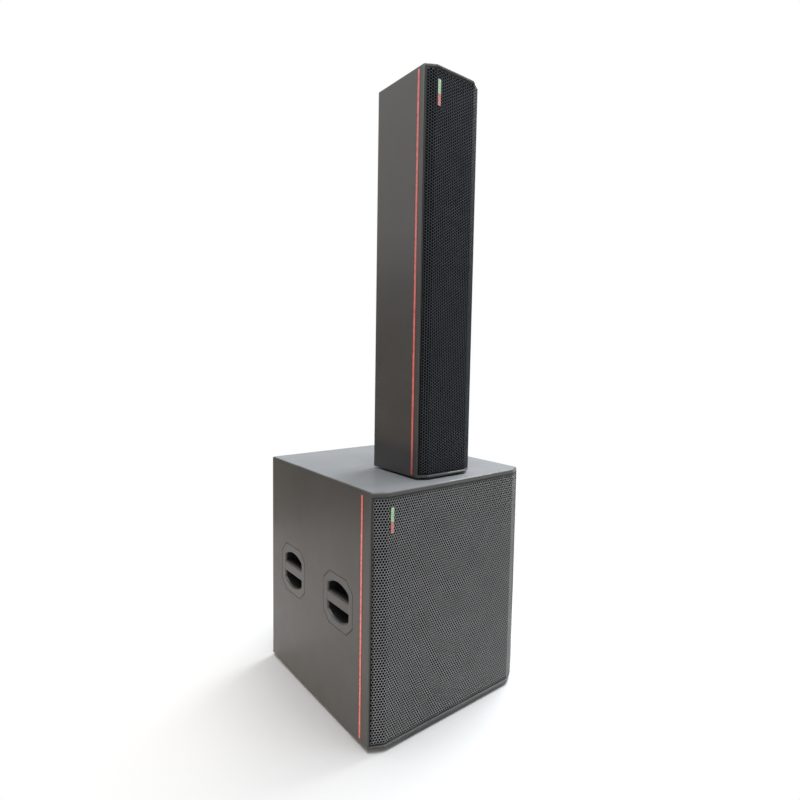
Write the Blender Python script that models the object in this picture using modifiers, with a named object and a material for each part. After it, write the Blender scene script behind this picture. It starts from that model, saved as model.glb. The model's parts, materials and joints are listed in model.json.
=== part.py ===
"""Column PA system: a subwoofer cabinet with a slim column loudspeaker standing on its top.

Metres, +Z up, the grilles face -Y. The origin is on the floor, under the middle of the subwoofer.
"""

import math

import bmesh
import bpy
from mathutils import Matrix

# Clearance between pieces that seat on each other, and round what is let into a panel
CLEARANCE = 0.0003
SEAT_GAP = 0.0005

# Subwoofer cabinet: plywood panels, cut back at the two front corners
SUB_WIDTH = 0.576
SUB_DEPTH = 0.592
SUB_HEIGHT = 0.696
SUB_CHAMFER_X = 0.041
SUB_CHAMFER_Y = 0.021
SUB_PANEL = 0.018
SUB_LIP = 0.0115
SUB_BAFFLE_SETBACK = 0.048
SUB_FOOT_HEIGHT = 0.008
SUB_FOOT_RADIUS = 0.020
SUB_FOOT_TIP_RADIUS = 0.017
SUB_FOOT_INSET = 0.085

# Column cabinet
COLUMN_WIDTH = 0.206
COLUMN_DEPTH = 0.220
COLUMN_HEIGHT = 1.119
COLUMN_CHAMFER_X = 0.031
COLUMN_CHAMFER_Y = 0.017
COLUMN_PANEL = 0.015
COLUMN_LIP = 0.008
COLUMN_BAFFLE_SETBACK = 0.034
COLUMN_SETBACK = 0.041
COLUMN_FOOT_HEIGHT = 0.005
COLUMN_FOOT_RADIUS = 0.011
COLUMN_FOOT_TIP_RADIUS = 0.0095
COLUMN_FOOT_INSET = 0.030

# Perforated steel grilles
GRILLE_INSET = 0.0025
GRILLE_SHEET = 0.0015
GRILLE_RETURN = 0.014
GRILLE_HOLE_RADIUS = 0.0205
GRILLE_HOLE_PITCH = 0.060
GRILLE_EDGE_MARGIN = 0.016
GRILLE_HOLE_SIDES = 6

# Level bars on the grilles
LEVEL_BAR_WIDTH = 0.012
LEVEL_BAR_HEIGHT = 0.070
SUB_LEVEL_BAR_FROM_FOLD = 0.014
SUB_LEVEL_BAR_DROP = 0.041
COLUMN_LEVEL_BAR_FROM_FOLD = 0.010
COLUMN_LEVEL_BAR_DROP = 0.036

# Red accent strips, inlaid in the side panels
ACCENT_WIDTH = 0.006
ACCENT_THICKNESS = 0.0012
SUB_ACCENT_SETBACK = 0.060
SUB_ACCENT_MARGIN = 0.0145
COLUMN_ACCENT_SETBACK = 0.039
COLUMN_ACCENT_MARGIN = 0.008

# Recessed bar handles, two in each side of the subwoofer
HANDLE_WIDTH = 0.150
HANDLE_HEIGHT = 0.156
HANDLE_CORNER = 0.030
HANDLE_FLANGE = 0.003
HANDLE_POCKET_WIDTH = 0.106
HANDLE_POCKET_HEIGHT = 0.104
HANDLE_POCKET_RISE = 0.024
HANDLE_WALL = 0.003
HANDLE_DEPTH = 0.066
HANDLE_BAR_HEIGHT = 0.028
HANDLE_BAR_DEPTH = 0.022
HANDLE_BAR_ROUND = 0.008
HANDLE_FRONT_SETBACK = 0.175
HANDLE_BACK_SETBACK = 0.151
HANDLE_GAP = 0.0008

# Pole sockets, in the top of the subwoofer and the base of the column
POLE_BORE_RADIUS = 0.0178
POLE_WALL = 0.004
POLE_DEPTH = 0.080
POLE_FLANGE_RADIUS = 0.050
POLE_FLANGE = 0.003

# Bass driver
WOOFER_RADIUS = 0.2325
WOOFER_CUTOUT_RADIUS = 0.2110
WOOFER_FLANGE = 0.008
WOOFER_BASKET_DEPTH = 0.120
WOOFER_SHOULDER_DEPTH = 0.030
WOOFER_BASKET_WALL = 0.005
WOOFER_BASKET_BACK_RADIUS = 0.100
WOOFER_WINDOW_WIDTH = 0.075
WOOFER_WINDOW_PAIRS = 3
WOOFER_CONE_RADIUS = 0.188
WOOFER_CONE_PAPER = 0.003
WOOFER_COIL_RADIUS = 0.0515
WOOFER_COIL_WALL = 0.002
WOOFER_CONE_DEPTH = 0.088
WOOFER_CAP_RADIUS = 0.078
WOOFER_CAP_RISE = 0.030
WOOFER_MAGNET_RADIUS = 0.105
WOOFER_MAGNET_DEPTH = 0.058
WOOFER_MAGNET_GAP_DEPTH = 0.046
WOOFER_MAGNET_GAP = 0.0025
WOOFER_ROLL_HEIGHT = 0.012
WOOFER_ROLL_SHEET = 0.0015
WOOFER_TOP_MARGIN = 0.014

# Bass reflex ports
PORT_RADIUS = 0.050
PORT_WALL = 0.003
PORT_LENGTH = 0.150
PORT_FLARE = 0.010
PORT_SIDE_MARGIN = 0.060
PORT_BOTTOM_MARGIN = 0.020

# Amplifier tray, recessed in the back of the subwoofer
TRAY_WIDTH = 0.300
TRAY_HEIGHT = 0.370
TRAY_RIM = 0.018
TRAY_SHEET = 0.003
TRAY_DEPTH = 0.030
TRAY_MIDDLE_Z = 0.420
HEATSINK_WIDTH = 0.220
HEATSINK_HEIGHT = 0.120
HEATSINK_BASE = 0.005
HEATSINK_FIN_HEIGHT = 0.019
HEATSINK_FIN = 0.003
HEATSINK_FINS = 14
HEATSINK_RISE = 0.090
MODULE_DEPTH = 0.070
MODULE_MARGIN = 0.008
KNOB_RADIUS = 0.0085
KNOB_TOP_RADIUS = 0.0070
KNOB_HEIGHT = 0.015
KNOB_SHAFT_RADIUS = 0.003
KNOB_SHAFT_REACH = 0.010
KNOB_PITCH = 0.058
KNOB_ROW = -0.008
KNOB_START = -0.090
BUTTON_RADIUS = 0.0045
BUTTON_REACH = 0.007
BUTTON_TAIL = 0.010
BUTTON_COLLAR_RADIUS = 0.0070
BUTTON_COLLAR = 0.002
RUNNING_GAP = 0.0004
SOCKET_FLANGE_WIDTH = 0.026
SOCKET_FLANGE_HEIGHT = 0.031
SOCKET_FLANGE = 0.002
SOCKET_BARREL_RADIUS = 0.0117
SOCKET_BARREL_REACH = 0.020
SOCKET_GAP = 0.0004
LINE_FACE_RADIUS = 0.0095
LINE_FACE_DEPTH = 0.0015
SPEAKER_RING_RADIUS = 0.0105
SPEAKER_POST_RADIUS = 0.0067
SPEAKER_RING_DEPTH = 0.012
SOCKET_PITCH = 0.050
SOCKET_ROW = -0.066
SOCKET_START = -0.100
INLET_WIDTH = 0.030
INLET_HEIGHT = 0.050
INLET_FLANGE = 0.0025
INLET_BODY_MARGIN = 0.002
INLET_REACH = 0.026
INLET_MOUTH_WIDTH = 0.0235
INLET_MOUTH_HEIGHT = 0.0170
INLET_MOUTH_DEPTH = 0.015
INLET_MOUTH_DROP = 0.011
INLET_ROW = -0.128
INLET_X = -0.080
ROCKER_WIDTH = 0.0185
ROCKER_HEIGHT = 0.0130
ROCKER_RISE = 0.0115
ROCKER_SLOT_DEPTH = 0.010
ROCKER_THICKNESS = 0.0045
ROCKER_TILT_DEG = 9.0
ROCKER_GAP = 0.0005

# Column drivers: cones above and below one horn
DRIVER_COUNT_EACH_SIDE = 2
DRIVER_RADIUS = 0.0830
DRIVER_CUTOUT_RADIUS = 0.0720
DRIVER_FLANGE = 0.004
DRIVER_BASKET_WALL = 0.003
DRIVER_BASKET_DEPTH = 0.045
DRIVER_SHOULDER_DEPTH = 0.011
DRIVER_MAGNET_RADIUS = 0.044
DRIVER_MAGNET_DEPTH = 0.028
DRIVER_CONE_RADIUS = 0.0610
DRIVER_CONE_DEPTH = 0.026
DRIVER_CONE_PAPER = 0.002
DRIVER_CAP_RADIUS = 0.022
DRIVER_CAP_RISE = 0.007
DRIVER_COIL_RADIUS = 0.011
DRIVER_ROLL_WIDTH = 0.006
DRIVER_ROLL_HEIGHT = 0.004
DRIVER_PITCH = 0.176
HORN_WIDTH = 0.166
HORN_HEIGHT = 0.150
HORN_FLANGE = 0.004
HORN_WALL = 0.003
HORN_RIM = 0.012
HORN_DEPTH = 0.090
HORN_THROAT = 0.026
TWEETER_RADIUS = 0.040
TWEETER_DEPTH = 0.036
TWEETER_CHAMFER = 0.006

# Connection plate on the back of the column
PLATE_WIDTH = 0.104
PLATE_HEIGHT = 0.120
PLATE_SHEET = 0.003
PLATE_RISE = 0.220
PLATE_OPENING_MARGIN = 0.015

# Turned pieces: sides of the circle, and steps of a rounded section
FINE_SIDES = 28
PLAIN_SIDES = 18
SMALL_SIDES = 12
FINE_STEPS = 4
PLAIN_STEPS = 3

# Which way a piece's own Z axis points
UP = (0.0, 0.0, 0.0)
DOWN = (math.pi, 0.0, 0.0)
FRONT = (math.pi / 2, 0.0, 0.0)
BACK = (math.pi / 2, 0.0, math.pi)
LEFT = (math.pi / 2, 0.0, -math.pi / 2)
RIGHT = (math.pi / 2, 0.0, math.pi / 2)

# How far a cutter runs past what it cuts
OVERRUN = 0.01

# Scene, collections and finishes
for old in list(bpy.data.objects):
    bpy.data.objects.remove(old, do_unlink=True)

PARTS = bpy.data.collections.new("column_pa_system")
CUTTERS = bpy.data.collections.new("cutters")
bpy.context.scene.collection.children.link(PARTS)
bpy.context.scene.collection.children.link(CUTTERS)


def finish(name, colour, roughness, metallic=0.0):
    """A plain Principled finish."""
    made = bpy.data.materials.new(name)
    made.use_nodes = True
    shader = made.node_tree.nodes["Principled BSDF"]
    shader.inputs["Base Color"].default_value = (*colour, 1.0)
    shader.inputs["Roughness"].default_value = roughness
    shader.inputs["Metallic"].default_value = metallic
    made.diffuse_color = (*colour, 1.0)
    return made


CABINET_PAINT = finish("cabinet_paint", (0.045, 0.045, 0.047), 0.55)
GRILLE_PAINT = finish("grille_paint", (0.03, 0.03, 0.032), 0.45, 0.6)
ACCENT_RED = finish("accent_red", (0.60, 0.02, 0.03), 0.4)
HANDLE_PLASTIC = finish("handle_plastic", (0.025, 0.025, 0.026), 0.5)
RUBBER = finish("rubber", (0.02, 0.02, 0.02), 0.85)
BARE_WOOD = finish("bare_wood", (0.32, 0.22, 0.13), 0.7)
CAST_METAL = finish("cast_metal", (0.05, 0.05, 0.055), 0.5, 0.8)
MAGNET_METAL = finish("magnet_metal", (0.12, 0.12, 0.13), 0.4, 0.9)
CONE_PAPER = finish("cone_paper", (0.03, 0.03, 0.03), 0.8)
TRAY_METAL = finish("tray_metal", (0.03, 0.03, 0.03), 0.5, 0.7)
BARE_METAL = finish("bare_metal", (0.5, 0.5, 0.52), 0.35, 1.0)
SOCKET_PLASTIC = finish("socket_plastic", (0.02, 0.02, 0.022), 0.4)
LAMP_PLASTIC = finish("lamp_plastic", (0.05, 0.30, 0.08), 0.3)


# Meshes and objects


def add_object(name, mesh, parent, location=(0, 0, 0), facing=UP, material=None):
    """An object of the product, or a hidden tool where it has no material."""
    made = bpy.data.objects.new(name, mesh)
    if material is None:
        CUTTERS.objects.link(made)
        made.hide_render = True
        made.display_type = "WIRE"
    else:
        PARTS.objects.link(made)
        if not mesh.materials:
            mesh.materials.append(material)
    made.parent = parent
    made.location = location
    made.rotation_euler = facing
    return made


def combine(target, tool, operation="DIFFERENCE"):
    """Cuts a tool out of the target, or joins it on."""
    modifier = target.modifiers.new(operation.lower(), "BOOLEAN")
    modifier.operation = operation
    modifier.solver = "EXACT"
    modifier.object = tool


def cut(target, mesh, location=(0, 0, 0), facing=UP):
    combine(target, add_object(mesh.name, mesh, target.parent, location, facing))


def join(target, mesh, location=(0, 0, 0), facing=UP):
    combine(target, add_object(mesh.name, mesh, target.parent, location, facing), "UNION")


def mesh_of(name, build):
    """A mesh filled in by a function that is given its bmesh."""
    shape = bmesh.new()
    build(shape)
    mesh = bpy.data.meshes.new(name)
    shape.to_mesh(mesh)
    shape.free()
    return mesh


def block(name, low, high):
    """A box between two corners."""
    size = [b - a for a, b in zip(low, high)]
    middle = [(a + b) / 2 for a, b in zip(low, high)]
    matrix = Matrix.Translation(middle) @ Matrix.Diagonal((*size, 1.0))
    return mesh_of(name, lambda shape: bmesh.ops.create_cube(shape, size=1.0, matrix=matrix))


def sheet(name, outlines, low, high):
    """A flat piece from low to high: the first outline is its edge, the others are holes."""
    curve = bpy.data.curves.new(name, "CURVE")
    curve.dimensions = "2D"
    curve.fill_mode = "BOTH"
    curve.extrude = (high - low) / 2
    for outline in outlines:
        spline = curve.splines.new("POLY")
        spline.points.add(len(outline) - 1)
        for point, (across, along) in zip(spline.points, outline):
            point.co = (across, along, 0.0, 1.0)
        spline.use_cyclic_u = True
    holder = bpy.data.objects.new(name, curve)
    CUTTERS.objects.link(holder)
    bpy.context.view_layer.update()
    graph = bpy.context.evaluated_depsgraph_get()
    mesh = bpy.data.meshes.new_from_object(holder.evaluated_get(graph))
    bpy.data.objects.remove(holder)
    bpy.data.curves.remove(curve)
    mesh.name = name
    mesh.transform(Matrix.Translation((0.0, 0.0, (low + high) / 2)))
    shape = bmesh.new()
    shape.from_mesh(mesh)
    bmesh.ops.remove_doubles(shape, verts=shape.verts, dist=1e-6)
    bmesh.ops.recalc_face_normals(shape, faces=shape.faces)
    shape.to_mesh(mesh)
    shape.free()
    mesh.materials.clear()
    return mesh


def round_bar(name, radius, low, high, sides=PLAIN_SIDES):
    """A cylinder along Z, whose first corner is on +X like that of a turned piece."""
    matrix = Matrix.Translation((0.0, 0.0, (low + high) / 2)) @ Matrix.Rotation(-math.pi / 2, 4, "Z")
    return mesh_of(
        name,
        lambda shape: bmesh.ops.create_cone(
            shape, cap_ends=True, segments=sides, radius1=radius, radius2=radius,
            depth=high - low, matrix=matrix,
        ),
    )


def signed_area(points):
    pairs = zip(points, points[1:] + points[:1])
    return sum(a[0] * b[1] - b[0] * a[1] for a, b in pairs) / 2


def profile_mesh(name, profile):
    """The closed loop of (radius, height) that a turned piece is spun from, without its edge on the axis."""
    loop = list(profile)
    if signed_area(loop) > 0:
        loop.reverse()
    pairs = [(i, (i + 1) % len(loop)) for i in range(len(loop))]
    edges = [(a, b) for a, b in pairs if loop[a][0] > 0 or loop[b][0] > 0]
    mesh = bpy.data.meshes.new(name)
    mesh.from_pydata([(radius, 0.0, height) for radius, height in loop], edges, [])
    return mesh


def turned(name, profile, sides, parent, location=(0, 0, 0), facing=UP, material=None):
    """A piece turned about its own Z axis."""
    return spun(name, profile_mesh(name, profile), sides, parent, location, facing, material)


def spun(name, mesh, sides, parent, location, facing, material):
    """A turned piece from a profile that other copies may share."""
    made = add_object(name, mesh, parent, location, facing, material)
    screw = made.modifiers.new("turn", "SCREW")
    screw.axis = "Z"
    screw.steps = sides
    screw.render_steps = sides
    screw.use_merge_vertices = True
    screw.merge_threshold = 0.00001
    screw.use_smooth_shade = True
    return made


# Outlines


def rectangle(width, height, across=0.0, along=0.0):
    right, top = width / 2, height / 2
    corners = [(-right, -top), (right, -top), (right, top), (-right, top)]
    return [(across + x, along + y) for x, y in corners]


def circle(radius, sides, across=0.0, along=0.0):
    angles = [2 * math.pi * i / sides for i in range(sides)]
    return [(across + radius * math.cos(a), along + radius * math.sin(a)) for a in angles]


def octagon(width, height, corner):
    right, top = width / 2, height / 2
    return [
        (-right + corner, -top), (right - corner, -top), (right, -top + corner), (right, top - corner),
        (right - corner, top), (-right + corner, top), (-right, top - corner), (-right, -top + corner),
    ]


def arc(across, along, start, end, steps):
    """Points of a part of an ellipse about (0, 0), between two angles."""
    angles = [start + (end - start) * i / steps for i in range(steps + 1)]
    return [(across * math.cos(a), along * math.sin(a)) for a in angles]


def arched(width, height, rise):
    """A rectangle whose top and bottom are half ellipses of the given rise."""
    top = [(x, height / 2 - rise + y) for x, y in arc(width / 2, rise, 0.0, math.pi, 2 * FINE_STEPS)]
    return top + [(-x, -y) for x, y in top]


def rounded(width, height, radius):
    """A rectangle with round corners."""
    points = []
    for turn, (side, level) in enumerate([(1, 1), (-1, 1), (-1, -1), (1, -1)]):
        start = math.pi / 2 * turn
        for x, y in arc(radius, radius, start, start + math.pi / 2, FINE_STEPS):
            points.append((side * (width / 2 - radius) + x, level * (height / 2 - radius) + y))
    return points


def cabinet_plan(width, depth, chamfer_x, chamfer_y):
    """Plan of a cabinet with both front corners cut back."""
    right, back = width / 2, depth / 2
    return [
        (-right, back), (-right, -back + chamfer_y), (-right + chamfer_x, -back),
        (right - chamfer_x, -back), (right, -back + chamfer_y), (right, back),
    ]


def ribbon(path, thickness):
    """Outline of a strip of sheet whose one face follows the path, with the thickness on its left."""
    other = []
    for i, (x, y) in enumerate(path):
        normals = []
        for a, b in ((i - 1, i), (i, i + 1)):
            if a >= 0 and b < len(path):
                run = math.dist(path[a], path[b])
                normals.append(((path[a][1] - path[b][1]) / run, (path[b][0] - path[a][0]) / run))
        first, last = normals[0], normals[-1]
        share = thickness / (1 + first[0] * last[0] + first[1] * last[1])
        other.append((x + share * (first[0] + last[0]), y + share * (first[1] + last[1])))
    return path + other[::-1]


# Pieces that both cabinets have


def cabinet(name, parent, width, depth, height, chamfer_x, chamfer_y, panel, lip):
    """Box of glued panels, open at the front, with thin lips above and below the grille."""
    plan = cabinet_plan(width, depth, chamfer_x, chamfer_y)
    shell = add_object(name, sheet(name, [plan], 0.0, height), parent, material=CABINET_PAINT)
    right, back = width / 2, depth / 2
    low = (panel - right, -back - OVERRUN, panel)
    cut(shell, block(name + "_hollow", low, (right - panel, back - panel, height - panel)))
    low = (-right - OVERRUN, -back - OVERRUN, lip)
    cut(shell, block(name + "_grille_recess", low, (right + OVERRUN, chamfer_y - back, height - lip)))
    return shell


def hole_places(width, height):
    """Centres of a staggered pattern of holes on a face, about its middle."""
    row_pitch = GRILLE_HOLE_PITCH * math.sqrt(3) / 2
    free = width / 2 - GRILLE_EDGE_MARGIN - GRILLE_HOLE_RADIUS
    rows = int((height / 2 - GRILLE_EDGE_MARGIN - GRILLE_HOLE_RADIUS) / row_pitch)
    columns = int(free / GRILLE_HOLE_PITCH) + 1
    places = []
    for row in range(-rows, rows + 1):
        shift = GRILLE_HOLE_PITCH / 2 if row % 2 else 0.0
        for column in range(-columns, columns + 1):
            across = column * GRILLE_HOLE_PITCH + shift
            if abs(across) <= free:
                places.append((across, row * row_pitch))
    return places


def punches(name, y, width, height):
    """Prisms that punch the holes in a grille's front face."""
    turn = Matrix.Rotation(math.pi / 2, 4, "X")

    def build(shape):
        for across, along in hole_places(width, height):
            bmesh.ops.create_cone(
                shape, cap_ends=True, segments=GRILLE_HOLE_SIDES, radius1=GRILLE_HOLE_RADIUS,
                radius2=GRILLE_HOLE_RADIUS, depth=2 * (GRILLE_SHEET + CLEARANCE),
                matrix=Matrix.Translation((across, y, height / 2 + along)) @ turn,
            )

    return mesh_of(name, build)


def grille(name, parent, width, depth, height, chamfer_x, chamfer_y, lip):
    """Perforated sheet, folded round the chamfers, with a return against each side panel."""
    right, back = width / 2, depth / 2
    front_y = GRILLE_INSET - back
    end_y = chamfer_y - back - CLEARANCE
    edge = right - GRILLE_INSET
    fold = right - chamfer_x
    path = [
        (GRILLE_RETURN - edge, end_y), (-edge, end_y), (-fold, front_y),
        (fold, front_y), (edge, end_y), (edge - GRILLE_RETURN, end_y),
    ]
    low, high = lip + CLEARANCE, height - lip - CLEARANCE
    folded = sheet(name, [ribbon(path, GRILLE_SHEET)], 0.0, high - low)
    made = add_object(name, folded, parent, (0, 0, low), material=GRILLE_PAINT)
    cut(made, punches(name + "_holes", front_y, 2 * fold, high - low), (0, 0, low))


def accents(name, parent, shell, width, depth, height, setback, margin):
    """One red strip in a groove on each side of a cabinet."""
    for side, sign in (("left", -1), ("right", 1)):
        y = setback - depth / 2
        groove_depth = ACCENT_THICKNESS + CLEARANCE
        groove = block(
            f"{name}_{side}_groove",
            (-groove_depth, -ACCENT_WIDTH / 2 - CLEARANCE, margin - CLEARANCE),
            (groove_depth, ACCENT_WIDTH / 2 + CLEARANCE, height - margin + CLEARANCE),
        )
        cut(shell, groove, (sign * width / 2, y, 0))
        strip = block(
            f"{name}_{side}",
            (-ACCENT_THICKNESS / 2, -ACCENT_WIDTH / 2, margin),
            (ACCENT_THICKNESS / 2, ACCENT_WIDTH / 2, height - margin),
        )
        x = sign * (width - ACCENT_THICKNESS) / 2
        add_object(f"{name}_{side}", strip, parent, (x, y, 0), material=ACCENT_RED)


def level_bar(name, parent, x, depth, top):
    """Thin lamp bar on the front of a grille, in its left upper corner."""
    thickness = GRILLE_INSET - 2 * CLEARANCE
    low = (-LEVEL_BAR_WIDTH / 2, -LEVEL_BAR_HEIGHT, 0.0)
    bar = block(name, low, (LEVEL_BAR_WIDTH / 2, 0.0, thickness))
    y = GRILLE_INSET - CLEARANCE - depth / 2
    add_object(name, bar, parent, (x, y, top), FRONT, LAMP_PLASTIC)


def feet(name, parent, width, depth, inset, radius, tip_radius, height):
    """Four turned rubber feet under a cabinet."""
    profile = [(0.0, -CLEARANCE), (radius, -CLEARANCE), (tip_radius, -height), (0.0, -height)]
    mesh = profile_mesh(name, profile)
    for row, y in (("front", inset - depth / 2), ("back", depth / 2 - inset)):
        for side, x in (("left", inset - width / 2), ("right", width / 2 - inset)):
            spun(f"{name}_{row}_{side}", mesh, SMALL_SIDES, parent, (x, y, 0), UP, RUBBER)


def pole_socket(name, parent, shell, location, facing, panel):
    """Top-hat socket for a stand pole, let into a panel flush with its face."""
    outer = POLE_BORE_RADIUS + POLE_WALL
    profile = [
        (POLE_BORE_RADIUS, 0.0), (POLE_FLANGE_RADIUS, 0.0), (POLE_FLANGE_RADIUS, -POLE_FLANGE),
        (outer, -POLE_FLANGE), (outer, -POLE_DEPTH - POLE_WALL), (0.0, -POLE_DEPTH - POLE_WALL),
        (0.0, -POLE_DEPTH), (POLE_BORE_RADIUS, -POLE_DEPTH),
    ]
    turned(name, profile, PLAIN_SIDES, parent, location, facing, CAST_METAL)
    seat = round_bar(name + "_seat", POLE_FLANGE_RADIUS + SEAT_GAP, -POLE_FLANGE - CLEARANCE, OVERRUN)
    cut(shell, seat, location, facing)
    hole = round_bar(name + "_hole", outer + SEAT_GAP, -panel - OVERRUN, OVERRUN)
    cut(shell, hole, location, facing)


def socket_body(name, parent, location, facing, ring):
    """Panel socket: a plate on the panel and a barrel through it, with a ring slot if it is for speakers."""
    plate = rectangle(SOCKET_FLANGE_WIDTH, SOCKET_FLANGE_HEIGHT)
    face = CLEARANCE + SOCKET_FLANGE
    made = add_object(name, sheet(name, [plate], CLEARANCE, face), parent, location, facing, SOCKET_PLASTIC)
    reach = -SOCKET_BARREL_REACH
    barrel = round_bar(name + "_barrel", SOCKET_BARREL_RADIUS, reach, face - CLEARANCE, SMALL_SIDES)
    join(made, barrel, location, facing)
    top = face + OVERRUN
    if ring:
        outlines = [circle(SPEAKER_RING_RADIUS, SMALL_SIDES), circle(SPEAKER_POST_RADIUS, SMALL_SIDES)]
        hollow = sheet(name + "_hollow", outlines, face - SPEAKER_RING_DEPTH, top)
    else:
        hollow = round_bar(name + "_hollow", LINE_FACE_RADIUS, face - LINE_FACE_DEPTH, top, SMALL_SIDES)
    cut(made, hollow, location, facing)


# Subwoofer


def sub_handles(parent, shell):
    """Moulded cups with an octagonal flange and a grip bar across the mouth."""
    outer_width = HANDLE_POCKET_WIDTH + 2 * HANDLE_WALL
    outer_height = HANDLE_POCKET_HEIGHT + 2 * HANDLE_WALL
    outer_rise = HANDLE_POCKET_RISE + HANDLE_WALL
    flange = octagon(HANDLE_WIDTH, HANDLE_HEIGHT, HANDLE_CORNER)
    pocket = arched(HANDLE_POCKET_WIDTH, HANDLE_POCKET_HEIGHT, HANDLE_POCKET_RISE)
    cup = arched(outer_width, outer_height, outer_rise)
    bar = rounded(HANDLE_BAR_HEIGHT, HANDLE_BAR_DEPTH, HANDLE_BAR_ROUND)
    bar_length = HANDLE_POCKET_WIDTH + HANDLE_WALL
    widen = 2 * HANDLE_GAP
    seat = octagon(HANDLE_WIDTH + widen, HANDLE_HEIGHT + widen, HANDLE_CORNER)
    hole = arched(outer_width + widen, outer_height + widen, outer_rise + HANDLE_GAP)
    rows = {"front": HANDLE_FRONT_SETBACK - SUB_DEPTH / 2, "back": SUB_DEPTH / 2 - HANDLE_BACK_SETBACK}
    for side, sign, facing in (("left", -1, LEFT), ("right", 1, RIGHT)):
        for row, y in rows.items():
            name = f"sub_handle_{row}_{side}"
            place = (sign * SUB_WIDTH / 2, y, SUB_HEIGHT / 2)
            plate = sheet(name, [flange], -HANDLE_FLANGE, 0.0)
            made = add_object(name, plate, parent, place, facing, HANDLE_PLASTIC)
            join(made, sheet(name + "_cup", [cup], -HANDLE_DEPTH, -HANDLE_FLANGE / 2), place, facing)
            cut(made, sheet(name + "_pocket", [pocket], HANDLE_WALL - HANDLE_DEPTH, OVERRUN), place, facing)
            grip = sheet(name + "_bar", [bar], -bar_length / 2, bar_length / 2)
            grip.transform(Matrix.Translation((0, 0, -HANDLE_BAR_DEPTH / 2)) @ bar_turn())
            join(made, grip, place, facing)
            cut(shell, sheet(name + "_seat", [seat], -HANDLE_FLANGE - CLEARANCE, OVERRUN), place, facing)
            cut(shell, sheet(name + "_hole", [hole], -SUB_PANEL - OVERRUN, OVERRUN), place, facing)


def bar_turn():
    """Lays a bar's section, drawn flat, across the handle: its length along the handle's width."""
    return Matrix(((0, 0, 1, 0), (1, 0, 0, 0), (0, 1, 0, 0), (0, 0, 0, 1)))


def woofer_middle_z():
    return SUB_HEIGHT - SUB_PANEL - WOOFER_TOP_MARGIN - WOOFER_RADIUS


def port_places():
    flare = PORT_RADIUS + PORT_FLARE
    x = SUB_WIDTH / 2 - SUB_PANEL - PORT_SIDE_MARGIN - flare
    z = SUB_PANEL + PORT_BOTTOM_MARGIN + flare
    return {"left": (-x, z), "right": (x, z)}


def sub_baffle(parent):
    width = SUB_WIDTH - 2 * SUB_PANEL - 2 * CLEARANCE
    height = SUB_HEIGHT - 2 * SUB_PANEL - 2 * CLEARANCE
    middle = SUB_HEIGHT / 2
    outlines = [rectangle(width, height, 0.0, middle)]
    outlines.append(circle(WOOFER_CUTOUT_RADIUS + CLEARANCE, FINE_SIDES, 0.0, woofer_middle_z()))
    for x, z in port_places().values():
        outlines.append(circle(PORT_RADIUS + PORT_WALL + CLEARANCE, PLAIN_SIDES, x, z))
    board = sheet("sub_baffle", outlines, -SUB_PANEL, 0.0)
    add_object("sub_baffle", board, parent, (0, SUB_BAFFLE_SETBACK - SUB_DEPTH / 2, 0), FRONT, BARE_WOOD)


def sub_ports(parent):
    """Flared tubes through the lower part of the baffle."""
    outer = PORT_RADIUS + PORT_WALL
    flare = PORT_RADIUS + PORT_FLARE
    front = CLEARANCE + PORT_WALL
    bend = arc(PORT_FLARE, PORT_FLARE + front, math.pi / 2, math.pi, PLAIN_STEPS)
    profile = [(flare, CLEARANCE)] + [(flare + r, h - PORT_FLARE) for r, h in bend]
    profile += [(PORT_RADIUS, -PORT_LENGTH), (outer, -PORT_LENGTH), (outer, CLEARANCE)]
    mesh = profile_mesh("sub_port", profile)
    for side, (x, z) in port_places().items():
        place = (x, SUB_BAFFLE_SETBACK - SUB_DEPTH / 2, z)
        spun(f"sub_port_{side}", mesh, PLAIN_SIDES, parent, place, FRONT, SOCKET_PLASTIC)


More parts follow.
